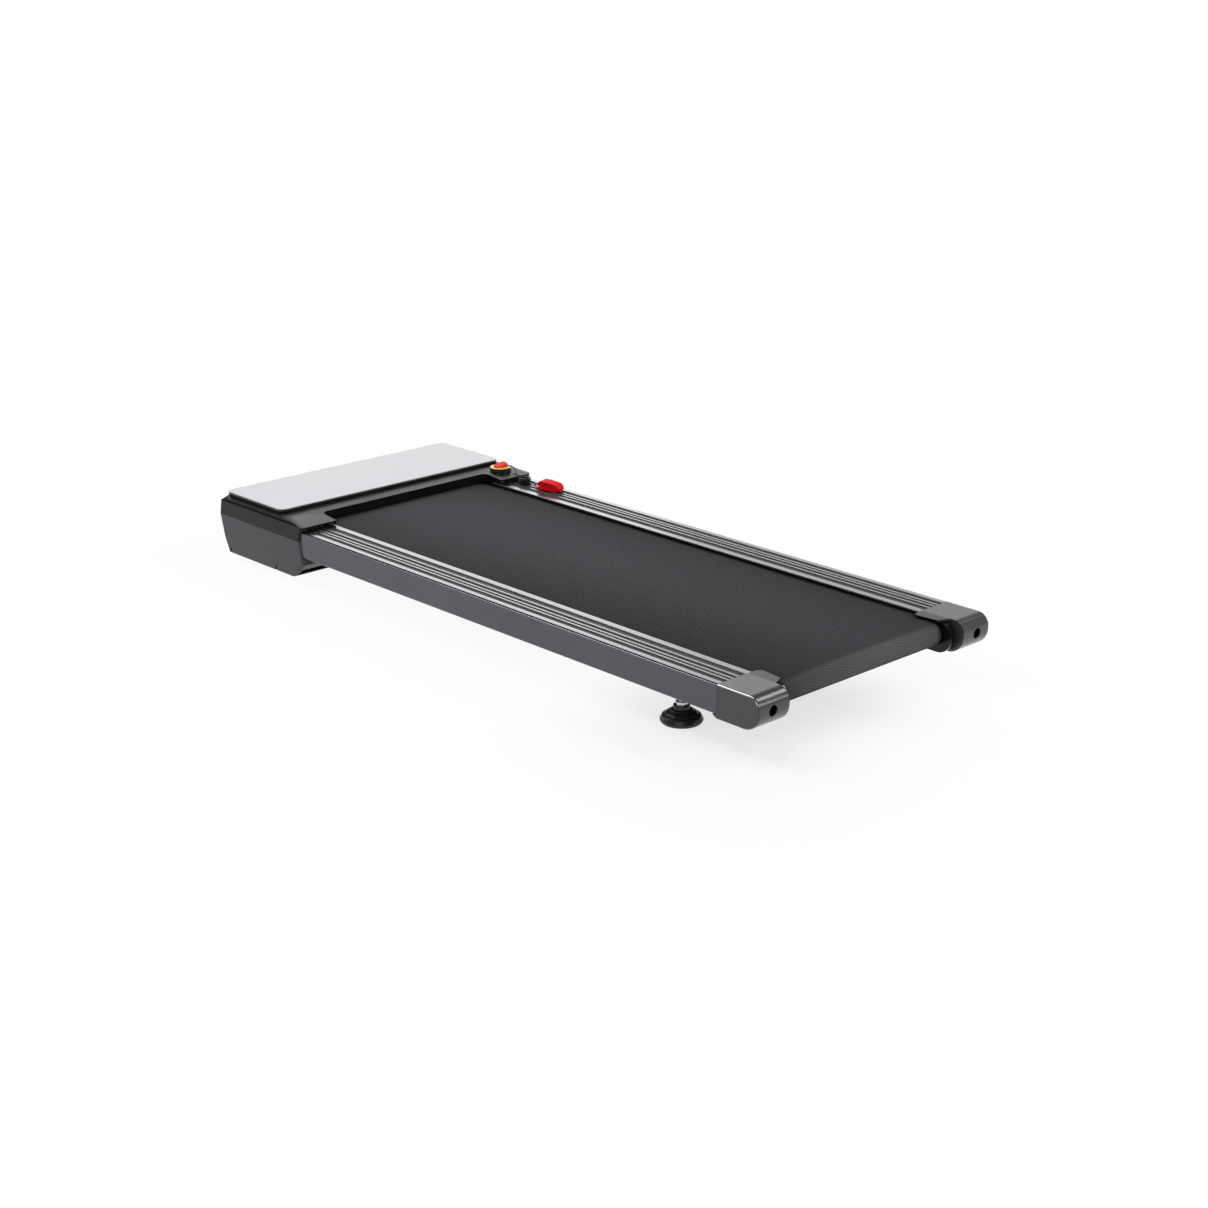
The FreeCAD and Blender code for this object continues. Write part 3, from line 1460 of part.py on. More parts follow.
def clip_upper_jaw():
    half = clip_length / 2
    end = clip_length * clip_end_share
    low = clip_lower_height + clip_jaw_gap
    u = clip_pivot().x
    top = clip_top_height + clip_handle_rise
    handle_gap = (half + u) * math.tan(math.radians(clip_open_deg)) + clip_jaw_gap
    handle_z = clip_end_high + handle_gap
    profile = [(half, low), (half - end, clip_top_height), (u, top), (-half + end, top),
               (-half, handle_z + clip_handle_edge), (-half, handle_z), (u, low)]
    jaw = clip_jaw(profile)
    slots = clip_ears(close_clearance, clip_swing_room)
    room = clip_spring_outer + close_clearance
    side = clip_spring_length / 2 + close_clearance
    well = box((u - room, u + room), (-side, side), (low - overrun, clip_pivot_height + room))
    return clip_placed(jaw.cut(slots + [well, clip_pin_rod(running_clearance)]))


def clip_pin():
    return clip_placed(clip_pin_rod(0))


def clip_spring():
    half = V(0, clip_spring_length / 2, 0)
    pivot = clip_pivot()
    sleeve = rod(clip_spring_outer, pivot - half, pivot + half)
    return clip_placed(sleeve.cut(rod(clip_spring_inner, pivot - half * 2, pivot + half * 2)))


def main():
    os.makedirs("parts", exist_ok=True)
    save_pair("side_rail", side_rail())
    save_pair("foot_rail", foot_rail())
    save("cross_members", cross_members())
    save("deck_board", deck_board())
    save("deck_cushions", deck_cushions())
    save("deck_bolts", Part.makeCompound(deck_bolt_solids(0)))
    save("walking_belt", walking_belt())
    save("rear_roller", roller(rear_axle_y))
    save("rear_roller_bearings", roller_bearings(rear_axle_y))
    save("rear_shaft", rear_shaft())
    save("front_roller", roller(front_axle_y))
    save("front_roller_bearings", roller_bearings(front_axle_y))
    save("front_shaft", front_shaft())
    save_pair("front_axle_block", front_axle_block())
    save_pair("end_cap", end_cap())
    save_pair("rear_axle_bracket", rear_axle_bracket())
    save_pair("adjust_bolt", adjust_bolt())
    save("motor_cover", motor_cover())
    save("plate_frame", plate_frame())
    save("top_plate", top_plate())
    save("belly_pan", belly_pan())
    save("roller_pulley", roller_pulley())
    save("motor_case", motor_case())
    save("motor_shaft", motor_shaft())
    save("motor_pulley", motor_pulley())
    save("drive_belt", drive_belt())
    save("motor_mount", motor_mount())
    save("controller_board", controller_board())
    save("heat_sink", heat_sink())
    save("power_panel", power_panel())
    save("power_inlet", power_inlet())
    save("switch_body", switch_body())
    save("switch_rocker", switch_rocker())
    save_pair("transport_wheel", transport_wheel())
    save("wheel_axles", wheel_axles())
    save("front_feet", front_feet())
    save_pair("foot_pad", foot_pad())
    save_pair("foot_stud", foot_stud())
    save("foot_nuts", foot_nuts())
    save("key_socket", key_socket())
    save("key_disc", key_disc())
    save("key_magnet", key_magnet())
    save("key_grip", key_grip())
    save("lanyard_lead", lanyard_lead())
    save("lanyard_coil", lanyard_coil())
    save("lanyard_tail", lanyard_tail())
    save("lanyard_ferrule", lanyard_ferrule())
    save("clip_lower_jaw", clip_lower_jaw())
    save("clip_upper_jaw", clip_upper_jaw())
    save("clip_pin", clip_pin())
    save("clip_spring", clip_spring())


main()
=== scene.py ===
import bpy
import bmesh
import json
import math
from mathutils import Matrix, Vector


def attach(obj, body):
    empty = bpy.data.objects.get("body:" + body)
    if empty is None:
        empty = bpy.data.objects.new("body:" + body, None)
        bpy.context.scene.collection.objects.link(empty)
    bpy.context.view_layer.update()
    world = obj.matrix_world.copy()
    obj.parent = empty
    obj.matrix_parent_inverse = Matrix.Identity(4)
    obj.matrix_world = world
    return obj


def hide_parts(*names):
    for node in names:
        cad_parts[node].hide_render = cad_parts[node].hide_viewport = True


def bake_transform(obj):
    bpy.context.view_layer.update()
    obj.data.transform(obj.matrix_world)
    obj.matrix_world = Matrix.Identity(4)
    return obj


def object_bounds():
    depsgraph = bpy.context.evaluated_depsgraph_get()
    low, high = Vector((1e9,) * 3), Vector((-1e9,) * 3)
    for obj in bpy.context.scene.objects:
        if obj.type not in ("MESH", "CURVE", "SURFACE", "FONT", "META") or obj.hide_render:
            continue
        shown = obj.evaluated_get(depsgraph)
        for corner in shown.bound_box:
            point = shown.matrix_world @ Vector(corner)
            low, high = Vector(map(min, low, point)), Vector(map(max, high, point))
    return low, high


# Lengths are in metres, on the pad's own frame: +Y towards the motor housing, +Z up from the floor.

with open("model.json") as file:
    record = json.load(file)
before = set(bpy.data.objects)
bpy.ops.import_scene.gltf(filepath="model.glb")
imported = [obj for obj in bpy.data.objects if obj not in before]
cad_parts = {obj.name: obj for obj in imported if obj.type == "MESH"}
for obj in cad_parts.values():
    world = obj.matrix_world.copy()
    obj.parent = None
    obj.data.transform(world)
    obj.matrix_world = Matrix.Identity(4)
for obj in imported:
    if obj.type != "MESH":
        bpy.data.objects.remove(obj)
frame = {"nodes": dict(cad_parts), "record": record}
cad_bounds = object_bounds()
nodes = frame["nodes"]
slot_of = {entry["node"]: entry["material_slot"] for entry in frame["record"]["subparts"]}
body_of = {node: body for body, members in frame["record"]["behaviour"]["bodies"].items() for node in members}
scene = bpy.context.scene
scene.view_settings.view_transform = "Standard"


# Shader nodes

tone_low, tone_high = 0.3, 0.7  # nearly all of a noise lies between these


def wire(tree, node, inputs):
    """Each input of a node set to its value, or linked where the value is a socket."""
    for label, value in inputs.items():
        if isinstance(value, bpy.types.NodeSocket):
            tree.links.new(value, node.inputs[label])
        else:
            node.inputs[label].default_value = value


def add_node(tree, kind, inputs=None, **settings):
    """A shader node with its settings and its inputs."""
    node = tree.nodes.new("ShaderNode" + kind)
    for label, value in settings.items():
        setattr(node, label, value)
    wire(tree, node, inputs or {})
    return node


def maths(tree, operation, *values, clamp=False):
    return add_node(tree, "Math", dict(enumerate(values)), operation=operation, use_clamp=clamp).outputs[0]


def vector_maths(tree, operation, *values, result="Vector"):
    return add_node(tree, "VectorMath", dict(enumerate(values)), operation=operation).outputs[result]


def part_of(tree, vector, axis):
    """One axis of a vector."""
    return add_node(tree, "SeparateXYZ", {"Vector": vector}).outputs[axis]


def map_range(tree, value, start, end, low=0.0, high=1.0, ease="LINEAR"):
    """Low where the value is at its start and high where it is at its end, even where the end is the smaller."""
    limits = {"Value": value, "From Min": start, "From Max": end, "To Min": low, "To Max": high}
    return add_node(tree, "MapRange", limits, interpolation_type=ease).outputs["Result"]


def tone_colour(tree, tone, dark, light, low=tone_low, high=tone_high):
    """Dark where the tone is low, running to light where it is high."""
    ramp = add_node(tree, "ValToRGB", {"Fac": tone})
    first, last = ramp.color_ramp.elements
    first.position = low
    first.color = (*dark, 1)
    last.position = high
    last.color = (*light, 1)
    return ramp.outputs["Color"]


def tone_value(tree, tone, low, high):
    return map_range(tree, tone, tone_low, tone_high, low, high)


def mix_colour(tree, mask, below, above):
    """Two colours, each a socket or a plain value, parted by a mask."""
    sides = {"A": below, "B": above}
    for label, colour in sides.items():
        if isinstance(colour, tuple):
            sides[label] = (*colour, 1)
    return add_node(tree, "Mix", {"Factor": mask, **sides}, data_type="RGBA").outputs["Result"]


def mix_value(tree, mask, below, above):
    """Two numbers, each a socket or a plain value, parted by a mask."""
    return add_node(tree, "Mix", {"Factor": mask, "A": below, "B": above}).outputs["Result"]


# Camera, light and floor

camera_place = (-2.2205, -2.4271, 1.1412)
camera_dip, camera_heading = 19.006, -43.33  # degrees
camera_lens, camera_sensor = 61.712, 36.0  # millimetres
camera_reach = 60.0

white = (1.0, 1.0, 1.0)
room_grey = (0.16, 0.165, 0.175)
room_white_top, room_grey_foot = 0.40, 0.66  # heights on the room's unit ball
far_heading = (0.62, 0.78, 0.0)
far_start, far_full = -0.30, 0.55  # how much a direction points to the far side
near_strength, far_strength = 0.34, 1.0

floor_reach = 60.0
floor_paint = (0.955, 0.96, 0.97)
shadow_full, shadow_gone = 0.05, 0.34  # distances from the pad's box
shadow_rear, shadow_front = -0.52, -0.24  # along Y
shadow_near, shadow_far = -0.02, 0.18  # along X
deep_white, pale_white = 0.71, 0.94  # shares of plain white in the shadow

lamps = {
    "overhead_box": dict(place=(-0.3, 0.6, 2.7), target=(0, 0, 0.1), width=2.6, height=2.2, watts=38.0),
    "far_box": dict(place=(2.3, 3.6, 1.35), target=(0, 0.3, 0.1), width=2.2, height=1.1, watts=7.5),
    "edge_box": dict(place=(1.55, -1.25, 1.85), target=(-0.1, -0.6, 0.1), width=1.3, height=0.3, watts=13.0),
    "cap_box": dict(place=(2.55, 2.2, 1.68), target=(-0.2, -0.6, 0.1), width=1.2, height=0.7, watts=0.8),
    "tail_box": dict(place=(0.9, -2.4, 0.9), target=(0, -0.65, 0.06), width=1.2, height=0.6, watts=14.0),
    "rim_box": dict(place=(-1.3, 2.3, 2.7), target=(-0.26, -0.2, 0.09), width=1.2, height=1.2, watts=28.0),
    "fill_box": dict(place=(-3.0, -2.0, 1.6), target=(0, 0, 0.08), width=2.0, height=1.5, watts=20.0),
}


def place_camera():
    data = bpy.data.cameras.new("photo_camera")
    data.sensor_width = camera_sensor
    data.lens = camera_lens
    data.clip_end = camera_reach
    camera = bpy.data.objects.new("photo_camera", data)
    camera.location = camera_place
    camera.rotation_euler = (math.radians(90.0 - camera_dip), 0.0, math.radians(camera_heading))
    scene.collection.objects.link(camera)
    scene.camera = camera


def studio_world():
    """White beyond the far side of the pad, falling to grey on the camera's side and overhead."""
    world = bpy.data.worlds.new("studio")
    scene.world = world
    world.use_nodes = True
    tree = world.node_tree
    tree.nodes.clear()
    heading = add_node(tree, "TexCoord").outputs["Generated"]
    shade = tone_colour(tree, part_of(tree, heading, "Z"), white, room_grey, room_white_top, room_grey_foot)
    far = vector_maths(tree, "DOT_PRODUCT", heading, far_heading, result="Value")
    strength = map_range(tree, far, far_start, far_full, near_strength, far_strength, "SMOOTHSTEP")
    room = add_node(tree, "Background", {"Color": shade, "Strength": strength})
    backdrop = add_node(tree, "Background", {"Color": (*white, 1)})
    seen = add_node(tree, "LightPath").outputs["Is Camera Ray"]
    mix = add_node(tree, "MixShader", {0: seen, 1: room.outputs[0], 2: backdrop.outputs[0]})
    add_node(tree, "OutputWorld", {"Surface": mix.outputs[0]})


def floor_paper():
    """Plain white where it is seen, mixed near the pad with a matt white that takes its shadow."""
    material = bpy.data.materials.new("studio_floor")
    material.use_nodes = True
    tree = material.node_tree
    tree.nodes.clear()
    rays = add_node(tree, "LightPath").outputs
    seen = maths(tree, "ADD", rays["Is Camera Ray"], rays["Is Glossy Ray"])
    seen = maths(tree, "ADD", seen, rays["Is Transmission Ray"])
    place = add_node(tree, "TexCoord").outputs["Object"]
    outside = vector_maths(tree, "SUBTRACT", vector_maths(tree, "ABSOLUTE", place), (*cad_bounds[1][:2], 0.0))
    away = vector_maths(tree, "LENGTH", vector_maths(tree, "MAXIMUM", outside, (0.0, 0.0, 0.0)), result="Value")
    along = map_range(tree, part_of(tree, place, "Y"), shadow_rear, shadow_front, deep_white, pale_white, "SMOOTHSTEP")
    across = map_range(tree, part_of(tree, place, "X"), shadow_near, shadow_far, deep_white, pale_white, "SMOOTHSTEP")
    least = maths(tree, "MAXIMUM", along, across)
    plain = map_range(tree, away, shadow_full, shadow_gone, least, 1.0, "SMOOTHSTEP")
    share = maths(tree, "MULTIPLY", seen, plain, clamp=True)
    matt = add_node(tree, "BsdfDiffuse", {"Color": (*floor_paint, 1)})
    glow = add_node(tree, "Emission", {"Color": (*white, 1)})
    mix = add_node(tree, "MixShader", {0: share, 1: matt.outputs[0], 2: glow.outputs[0]})
    add_node(tree, "OutputMaterial", {"Surface": mix.outputs[0]})
    return material


def studio_floor():
    mesh = bpy.data.meshes.new("studio_floor")
    bm = bmesh.new()
    bmesh.ops.create_grid(bm, x_segments=1, y_segments=1, size=floor_reach)
    bm.to_mesh(mesh)
    bm.free()
    mesh.materials.append(floor_paper())
    floor = bpy.data.objects.new("studio_floor", mesh)
    scene.collection.objects.link(floor)


def soft_box(name, place, target, width, height, watts):
    data = bpy.data.lights.new(name, "AREA")
    data.shape = "RECTANGLE"
    data.size = width
    data.size_y = height
    data.energy = watts
    lamp = bpy.data.objects.new(name, data)
    lamp.location = place
    lamp.rotation_euler = (Vector(target) - Vector(place)).to_track_quat("-Z", "Y").to_euler()
    scene.collection.objects.link(lamp)


place_camera()
studio_world()
studio_floor()
for lamp_name, lamp_values in lamps.items():
    soft_box(lamp_name, **lamp_values)


# Shared surface effects

grain_in_tone = 0.35
grain_in_tone_middle = 0.17  # taken off again, so that the grain doesn't lift the tone
grit_scale = 900.0
grit_in_height = 0.3
emboss_floor = -0.6  # the waves below this are the flat ground between the diamonds


def new_group(name, inputs, outputs):
    """A node group of plain numbers: its tree, the sockets that enter it and the node that ends it."""
    tree = bpy.data.node_groups.new(name, "ShaderNodeTree")
    for label, value in inputs.items():
        socket = tree.interface.new_socket(name=label, in_out="INPUT", socket_type="NodeSocketFloat")
        socket.default_value = value
    for label in outputs:
        tree.interface.new_socket(name=label, in_out="OUTPUT", socket_type="NodeSocketFloat")
    return tree, tree.nodes.new("NodeGroupInput").outputs, tree.nodes.new("NodeGroupOutput")


def moulded_grain_group():
    """Fine pebble grain with broad tone changes, on object coordinates."""
    tree, entry, leave = new_group("moulded_grain", {"Grain": 1500.0, "Cloud": 9.0}, ["Height", "Tone"])
    place = add_node(tree, "TexCoord").outputs["Object"]
    pebbles = {"Vector": place, "Scale": entry["Grain"], "Detail": 2.0}
    clouds = {"Vector": place, "Scale": entry["Cloud"], "Detail": 5.0, "Roughness": 0.6}
    grain = add_node(tree, "TexNoise", pebbles).outputs["Fac"]
    cloud = add_node(tree, "TexNoise", clouds).outputs["Fac"]
    blend = maths(tree, "MULTIPLY_ADD", grain, grain_in_tone, cloud)
    wire(tree, leave, {"Height": grain, "Tone": maths(tree, "SUBTRACT", blend, grain_in_tone_middle)})
    return tree


def drawn_lines_group():
    """Long fine lines along Y, as on drawn or brushed metal."""
    tree, entry, leave = new_group("drawn_lines", {"Across": 2200.0, "Along": 6.0}, ["Height", "Tone"])
    scales = {"X": entry["Across"], "Y": entry["Along"], "Z": entry["Across"]}
    stretch = add_node(tree, "CombineXYZ", scales).outputs["Vector"]
    place = vector_maths(tree, "MULTIPLY", add_node(tree, "TexCoord").outputs["Object"], stretch)
    lines = add_node(tree, "TexNoise", {"Vector": place, "Scale": 1.0, "Detail": 3.0}).outputs["Fac"]
    wire(tree, leave, {"Height": lines, "Tone": lines})
    return tree


def belt_emboss_group():
    """Long diamonds pressed into the belt, lying across it, on its UV map in metres."""
    tree, entry, leave = new_group("belt_emboss", {"Pitch": 0.006, "Slope": 0.35}, ["Height", "Tone"])
    cloth = add_node(tree, "TexCoord").outputs["UV"]
    across = maths(tree, "MULTIPLY", part_of(tree, cloth, "X"), entry["Slope"])
    waves = []
    for operation in ("ADD", "SUBTRACT"):
        slant = maths(tree, operation, part_of(tree, cloth, "Y"), across)
        turns = maths(tree, "DIVIDE", slant, entry["Pitch"])
        waves.append(maths(tree, "COSINE", maths(tree, "MULTIPLY", turns, 2 * math.pi)))
    level = map_range(tree, maths(tree, "MAXIMUM", *waves), emboss_floor, 1.0)
    grit = add_node(tree, "TexNoise", {"Vector": cloth, "Scale": grit_scale, "Detail": 3.0}).outputs["Fac"]
    wire(tree, leave, {"Height": maths(tree, "MULTIPLY_ADD", grit, grit_in_height, level), "Tone": level})
    return tree


def upper_edge_group():
    """One on rounded edges along the pad, between a side and the top, and zero on flat faces."""
    tree, entry, leave = new_group("upper_edge", {"Start": 0.25, "Full": 0.40}, ["Mask"])
    normal = add_node(tree, "TexCoord").outputs["Normal"]
    upward = map_range(tree, part_of(tree, normal, "Z"), entry["Start"], entry["Full"])
    sideways = part_of(tree, vector_maths(tree, "ABSOLUTE", normal), "X")
    wire(tree, leave, {"Mask": map_range(tree, sideways, entry["Start"], entry["Full"], 0.0, upward)})
    return tree


grain_effect = moulded_grain_group()
lines_effect = drawn_lines_group()
emboss_effect = belt_emboss_group()
highlight_edge_effect = upper_edge_group()


# Finishes

grain_depth, fine_grain_depth, line_depth, emboss_depth = 0.00025, 0.0002, 0.0001, 0.0003


def start_material(name):
    material = bpy.data.materials.new(name)
    material.use_nodes = True
    return material, material.node_tree, material.node_tree.nodes["Principled BSDF"]


def place_effect(tree, group, **values):
    """A shared effect in a material, with its own values."""
    return add_node(tree, "Group", values, node_tree=group).outputs


def bump(tree, height, strength, depth):
    return add_node(tree, "Bump", {"Strength": strength, "Distance": depth, "Height": height}).outputs["Normal"]


def along_axis(tree, axis, start, full):
    """Zero before one place of the piece's own axis and one past another."""
    return map_range(tree, part_of(tree, add_node(tree, "TexCoord").outputs["Object"], axis), start, full)


def facing_mask(tree, axis, start, full):
    """Zero where the surface turns from an axis of the piece and one where it faces along it."""
    return map_range(tree, part_of(tree, add_node(tree, "TexCoord").outputs["Normal"], axis), start, full)


def from_middle(tree):
    """Distance to either side of the pad's middle."""
    return part_of(tree, vector_maths(tree, "ABSOLUTE", add_node(tree, "TexCoord").outputs["Object"]), "X")


def grained(name, dark, light, rough, grain=1500.0, cloud=9.0, strength=0.12, shine=0.5):
    """Plastic, paint, rubber, board or cord with a fine grain."""
    material, tree, shader = start_material(name)
    surface = place_effect(tree, grain_effect, Grain=grain, Cloud=cloud)
    wire(tree, shader, {
        "Base Color": tone_colour(tree, surface["Tone"], dark, light),
        "Roughness": tone_value(tree, surface["Tone"], *rough),
        "Specular IOR Level": shine,
        "Normal": bump(tree, surface["Height"], strength, grain_depth),
    })
    return material


def drawn(name, dark, light, rough, along=6.0):
    """Drawn or machined metal with fine lines along Y."""
    material, tree, shader = start_material(name)
    surface = place_effect(tree, lines_effect, Across=2200.0, Along=along)
    wire(tree, shader, {
        "Base Color": tone_colour(tree, surface["Tone"], dark, light),
        "Roughness": tone_value(tree, surface["Tone"], *rough),
        "Metallic": 1.0,
        "Normal": bump(tree, surface["Height"], strength=0.08, depth=line_depth),
    })
    return material


def foot_rail_finish():
    """Dark extrusion with polished strip tops and a black outer rim painted as the shade in the gap beside the side
    rail.
    """
    strip_foot, strip_top = 0.0960, 0.0962  # heights
    polish_outer, polish_inner = 0.2568, 0.2565  # from the pad's middle
    # painted shade: the outer rim is painted black, with no shine, as the shadow in the gap between the foot rail and
    # the side rail
    gap_shade_inner, gap_shade_outer = 0.2563, 0.2566
    groove_grey, gap_shade_black = (0.046, 0.046, 0.050), (0.003, 0.003, 0.0035)
    polish_dark, polish_light = (0.29, 0.29, 0.30), (0.36, 0.36, 0.37)
    groove_rough, polish_rough = 0.45, (0.20, 0.30)
    groove_shine, gap_shade_shine, polish_shine = 0.35, 0.0, 0.5
    material, tree, shader = start_material("foot_rail_finish")
    surface = place_effect(tree, lines_effect, Across=1800.0, Along=4.0)
    side = from_middle(tree)
    top = along_axis(tree, "Z", strip_foot, strip_top)
    crest = map_range(tree, side, polish_outer, polish_inner, 0.0, top)
    gap_shade = map_range(tree, side, gap_shade_inner, gap_shade_outer)
    groove = mix_colour(tree, gap_shade, groove_grey, gap_shade_black)
    bright = tone_colour(tree, surface["Tone"], polish_dark, polish_light)
    wire(tree, shader, {
        "Base Color": mix_colour(tree, crest, groove, bright),
        "Metallic": crest,
        "Roughness": mix_value(tree, crest, groove_rough, tone_value(tree, surface["Tone"], *polish_rough)),
        "Specular IOR Level": mix_value(tree, crest, mix_value(tree, gap_shade, groove_shine, gap_shade_shine), polish_shine),
        "Normal": bump(tree, surface["Height"], strength=0.015, depth=line_depth),
    })
    return material


def rail_finish():
    """Charcoal paint with a painted highlight along the upper edge, made bright metal there."""
    charcoal_dark, charcoal_light = (0.072, 0.074, 0.085), (0.086, 0.088, 0.101)
    # painted highlight: the rounded upper edge is bright metal so that it shows as a light line
    painted_highlight_metal = (0.20, 0.20, 0.21)
    material, tree, shader = start_material("rail_paint")
    surface = place_effect(tree, grain_effect, Grain=1300.0, Cloud=9.0)
    edge = place_effect(tree, highlight_edge_effect, Start=0.25, Full=0.40)["Mask"]
    paint = tone_colour(tree, surface["Tone"], charcoal_dark, charcoal_light)
    wire(tree, shader, {
        "Base Color": mix_colour(tree, edge, paint, painted_highlight_metal),
        "Metallic": edge,
        "Roughness": tone_value(tree, surface["Tone"], 0.20, 0.27),
        "Specular IOR Level": 0.38,
        "Normal": bump(tree, surface["Height"], strength=0.05, depth=grain_depth),
    })
    return material


def cover_finish():
    """Charcoal lower body and a blacker, smoother upper shell that meet at the crease."""
    crease_low, crease_high = 0.0793, 0.0797  # heights
    charcoal_dark, charcoal_light = (0.039, 0.041, 0.047), (0.049, 0.051, 0.058)
    black_dark, black_light = (0.003, 0.003, 0.0035), (0.006, 0.006, 0.0068)
    body_rough, shell_rough = (0.34, 0.44), (0.26, 0.34)
    body_shine, wall_shine, slope_shine, top_shine = 0.38, 0.20, 0.02, 0.38
    slope_start, slope_full = 0.25, 0.40  # how far a face turns up
    top_start, top_full = 0.90, 0.97
    material, tree, shader = start_material("cover_finish")
    surface = place_effect(tree, grain_effect, Grain=1500.0, Cloud=9.0)
    upper = along_axis(tree, "Z", crease_low, crease_high)
    charcoal = tone_colour(tree, surface["Tone"], charcoal_dark, charcoal_light)
    black = tone_colour(tree, surface["Tone"], black_dark, black_light)
    satin = tone_value(tree, surface["Tone"], *body_rough)
    smooth = tone_value(tree, surface["Tone"], *shell_rough)
    sides = mix_value(tree, facing_mask(tree, "Z", slope_start, slope_full), wall_shine, slope_shine)
    shell = mix_value(tree, facing_mask(tree, "Z", top_start, top_full), sides, top_shine)
    wire(tree, shader, {
        "Base Color": mix_colour(tree, upper, charcoal, black),
        "Roughness": mix_value(tree, upper, satin, smooth),
        "Specular IOR Level": mix_value(tree, upper, body_shine, shell),
        "Normal": bump(tree, surface["Height"], strength=0.1, depth=grain_depth),
    })
    return material


def cap_finish():
    """Satin end cap with a painted highlight along its upper edge, made bright metal there, whose roller guard beside
    the belt is gloss black.
    """
    guard_edge, satin_edge = 0.1960, 0.1965  # from the pad's middle
    satin_dark, satin_light = (0.028, 0.028, 0.0315), (0.035, 0.035, 0.039)
    # painted highlight: the rounded upper edge is bright metal so that it shows as a light line
    painted_highlight_metal, guard_black = (0.38, 0.38, 0.40), (0.004, 0.004, 0.005)
    guard_rough, satin_rough = 0.14, (0.22, 0.26)
    guard_shine, satin_shine = 0.3, 0.4
    guard_coat, satin_coat = 0.0, 0.35
    material, tree, shader = start_material("cap_finish")
    surface = place_effect(tree, grain_effect, Grain=2200.0, Cloud=9.0)
    edge = place_effect(tree, highlight_edge_effect, Start=0.25, Full=0.40)["Mask"]
    outer = map_range(tree, from_middle(tree), guard_edge, satin_edge)
    satin = mix_colour(tree, edge, tone_colour(tree, surface["Tone"], satin_dark, satin_light), painted_highlight_metal)
    wire(tree, shader, {
        "Base Color": mix_colour(tree, outer, guard_black, satin),
        "Metallic": mix_value(tree, outer, 0.0, edge),
        "Roughness": mix_value(tree, outer, guard_rough, tone_value(tree, surface["Tone"], *satin_rough)),
        "Specular IOR Level": mix_value(tree, outer, guard_shine, satin_shine),
        "Coat Weight": mix_value(tree, outer, guard_coat, satin_coat),
        "Coat Roughness": 0.17,
        "Normal": bump(tree, surface["Height"], strength=0.003, depth=fine_grain_depth),
    })
    return material


def key_disc_finish():
    """Black edge under a yellow top."""
    top_start, top_full = 0.35, 0.6  # how far a face turns up
    edge_black = (0.006, 0.006, 0.006)
    yellow_dark, yellow_light = (0.80, 0.47, 0.07), (0.90, 0.62, 0.16)
    material, tree, shader = start_material("key_disc_finish")
    surface = place_effect(tree, grain_effect, Grain=1800.0, Cloud=60.0)
    yellow = tone_colour(tree, surface["Tone"], yellow_dark, yellow_light)
    wire(tree, shader, {
        "Base Color": mix_colour(tree, facing_mask(tree, "Z", top_start, top_full), edge_black, yellow),
        "Roughness": tone_value(tree, surface["Tone"], 0.2, 0.3),
        "Normal": bump(tree, surface["Height"], strength=0.03, depth=fine_grain_depth),
    })
    return material


def key_grip_finish():
    """Red grip with a black end behind its tip."""
    end_start, end_full = 0.45, 0.7  # how far a face turns to the right
    end_black = (0.006, 0.006, 0.006)
    red_dark, red_light = (0.74, 0.034, 0.018), (0.82, 0.052, 0.028)
    material, tree, shader = start_material("key_grip_finish")
    surface = place_effect(tree, grain_effect, Grain=1800.0, Cloud=60.0)
    red = tone_colour(tree, surface["Tone"], red_dark, red_light)
    wire(tree, shader, {
        "Base Color": mix_colour(tree, facing_mask(tree, "X", end_start, end_full), red, end_black),
        "Roughness": tone_value(tree, surface["Tone"], 0.40, 0.50),
        "Specular IOR Level": 0.08,
        "Normal": bump(tree, surface["Height"], strength=0.03, depth=fine_grain_depth),
    })
    return material


def belt_finish():
    """Embossed cloth, with painted shade darkening it towards the rear and a painted highlight making it pale where it
    turns round the rear roller.
    """
    # painted shade: the belt's colour darkens towards the rear, standing in for the light that falls off there
    rear_shade_full, rear_shade_gone = -0.60, 0.25  # along Y
    turn_start, turn_full = -0.22, -0.55  # how far a face turns to the rear
    shaded_dark, shaded_light = (0.027, 0.0272, 0.0295), (0.066, 0.0664, 0.071)
    unshaded_dark, unshaded_light = (0.038, 0.0383, 0.0415), (0.090, 0.0905, 0.097)
    # painted highlight: a paler colour where the belt turns to face the rear round the roller
    highlight_dark, highlight_light = (0.080, 0.0785, 0.0805), (0.106, 0.104, 0.1065)
    material, tree, shader = start_material("belt_finish")
    surface = place_effect(tree, emboss_effect, Pitch=0.0050, Slope=0.35)
    shaded = tone_colour(tree, surface["Tone"], shaded_dark, shaded_light)
    unshaded = tone_colour(tree, surface["Tone"], unshaded_dark, unshaded_light)
    highlighted = tone_colour(tree, surface["Tone"], highlight_dark, highlight_light)
    flat = mix_colour(tree, along_axis(tree, "Y", rear_shade_full, rear_shade_gone), shaded, unshaded)
    wire(tree, shader, {
        "Base Color": mix_colour(tree, facing_mask(tree, "Y", turn_start, turn_full), flat, highlighted),
        "Roughness": tone_value(tree, surface["Tone"], 0.78, 0.66),
        "Specular IOR Level": 0.0,
        "Normal": bump(tree, surface["Height"], strength=0.5, depth=emboss_depth),
    })
    return material


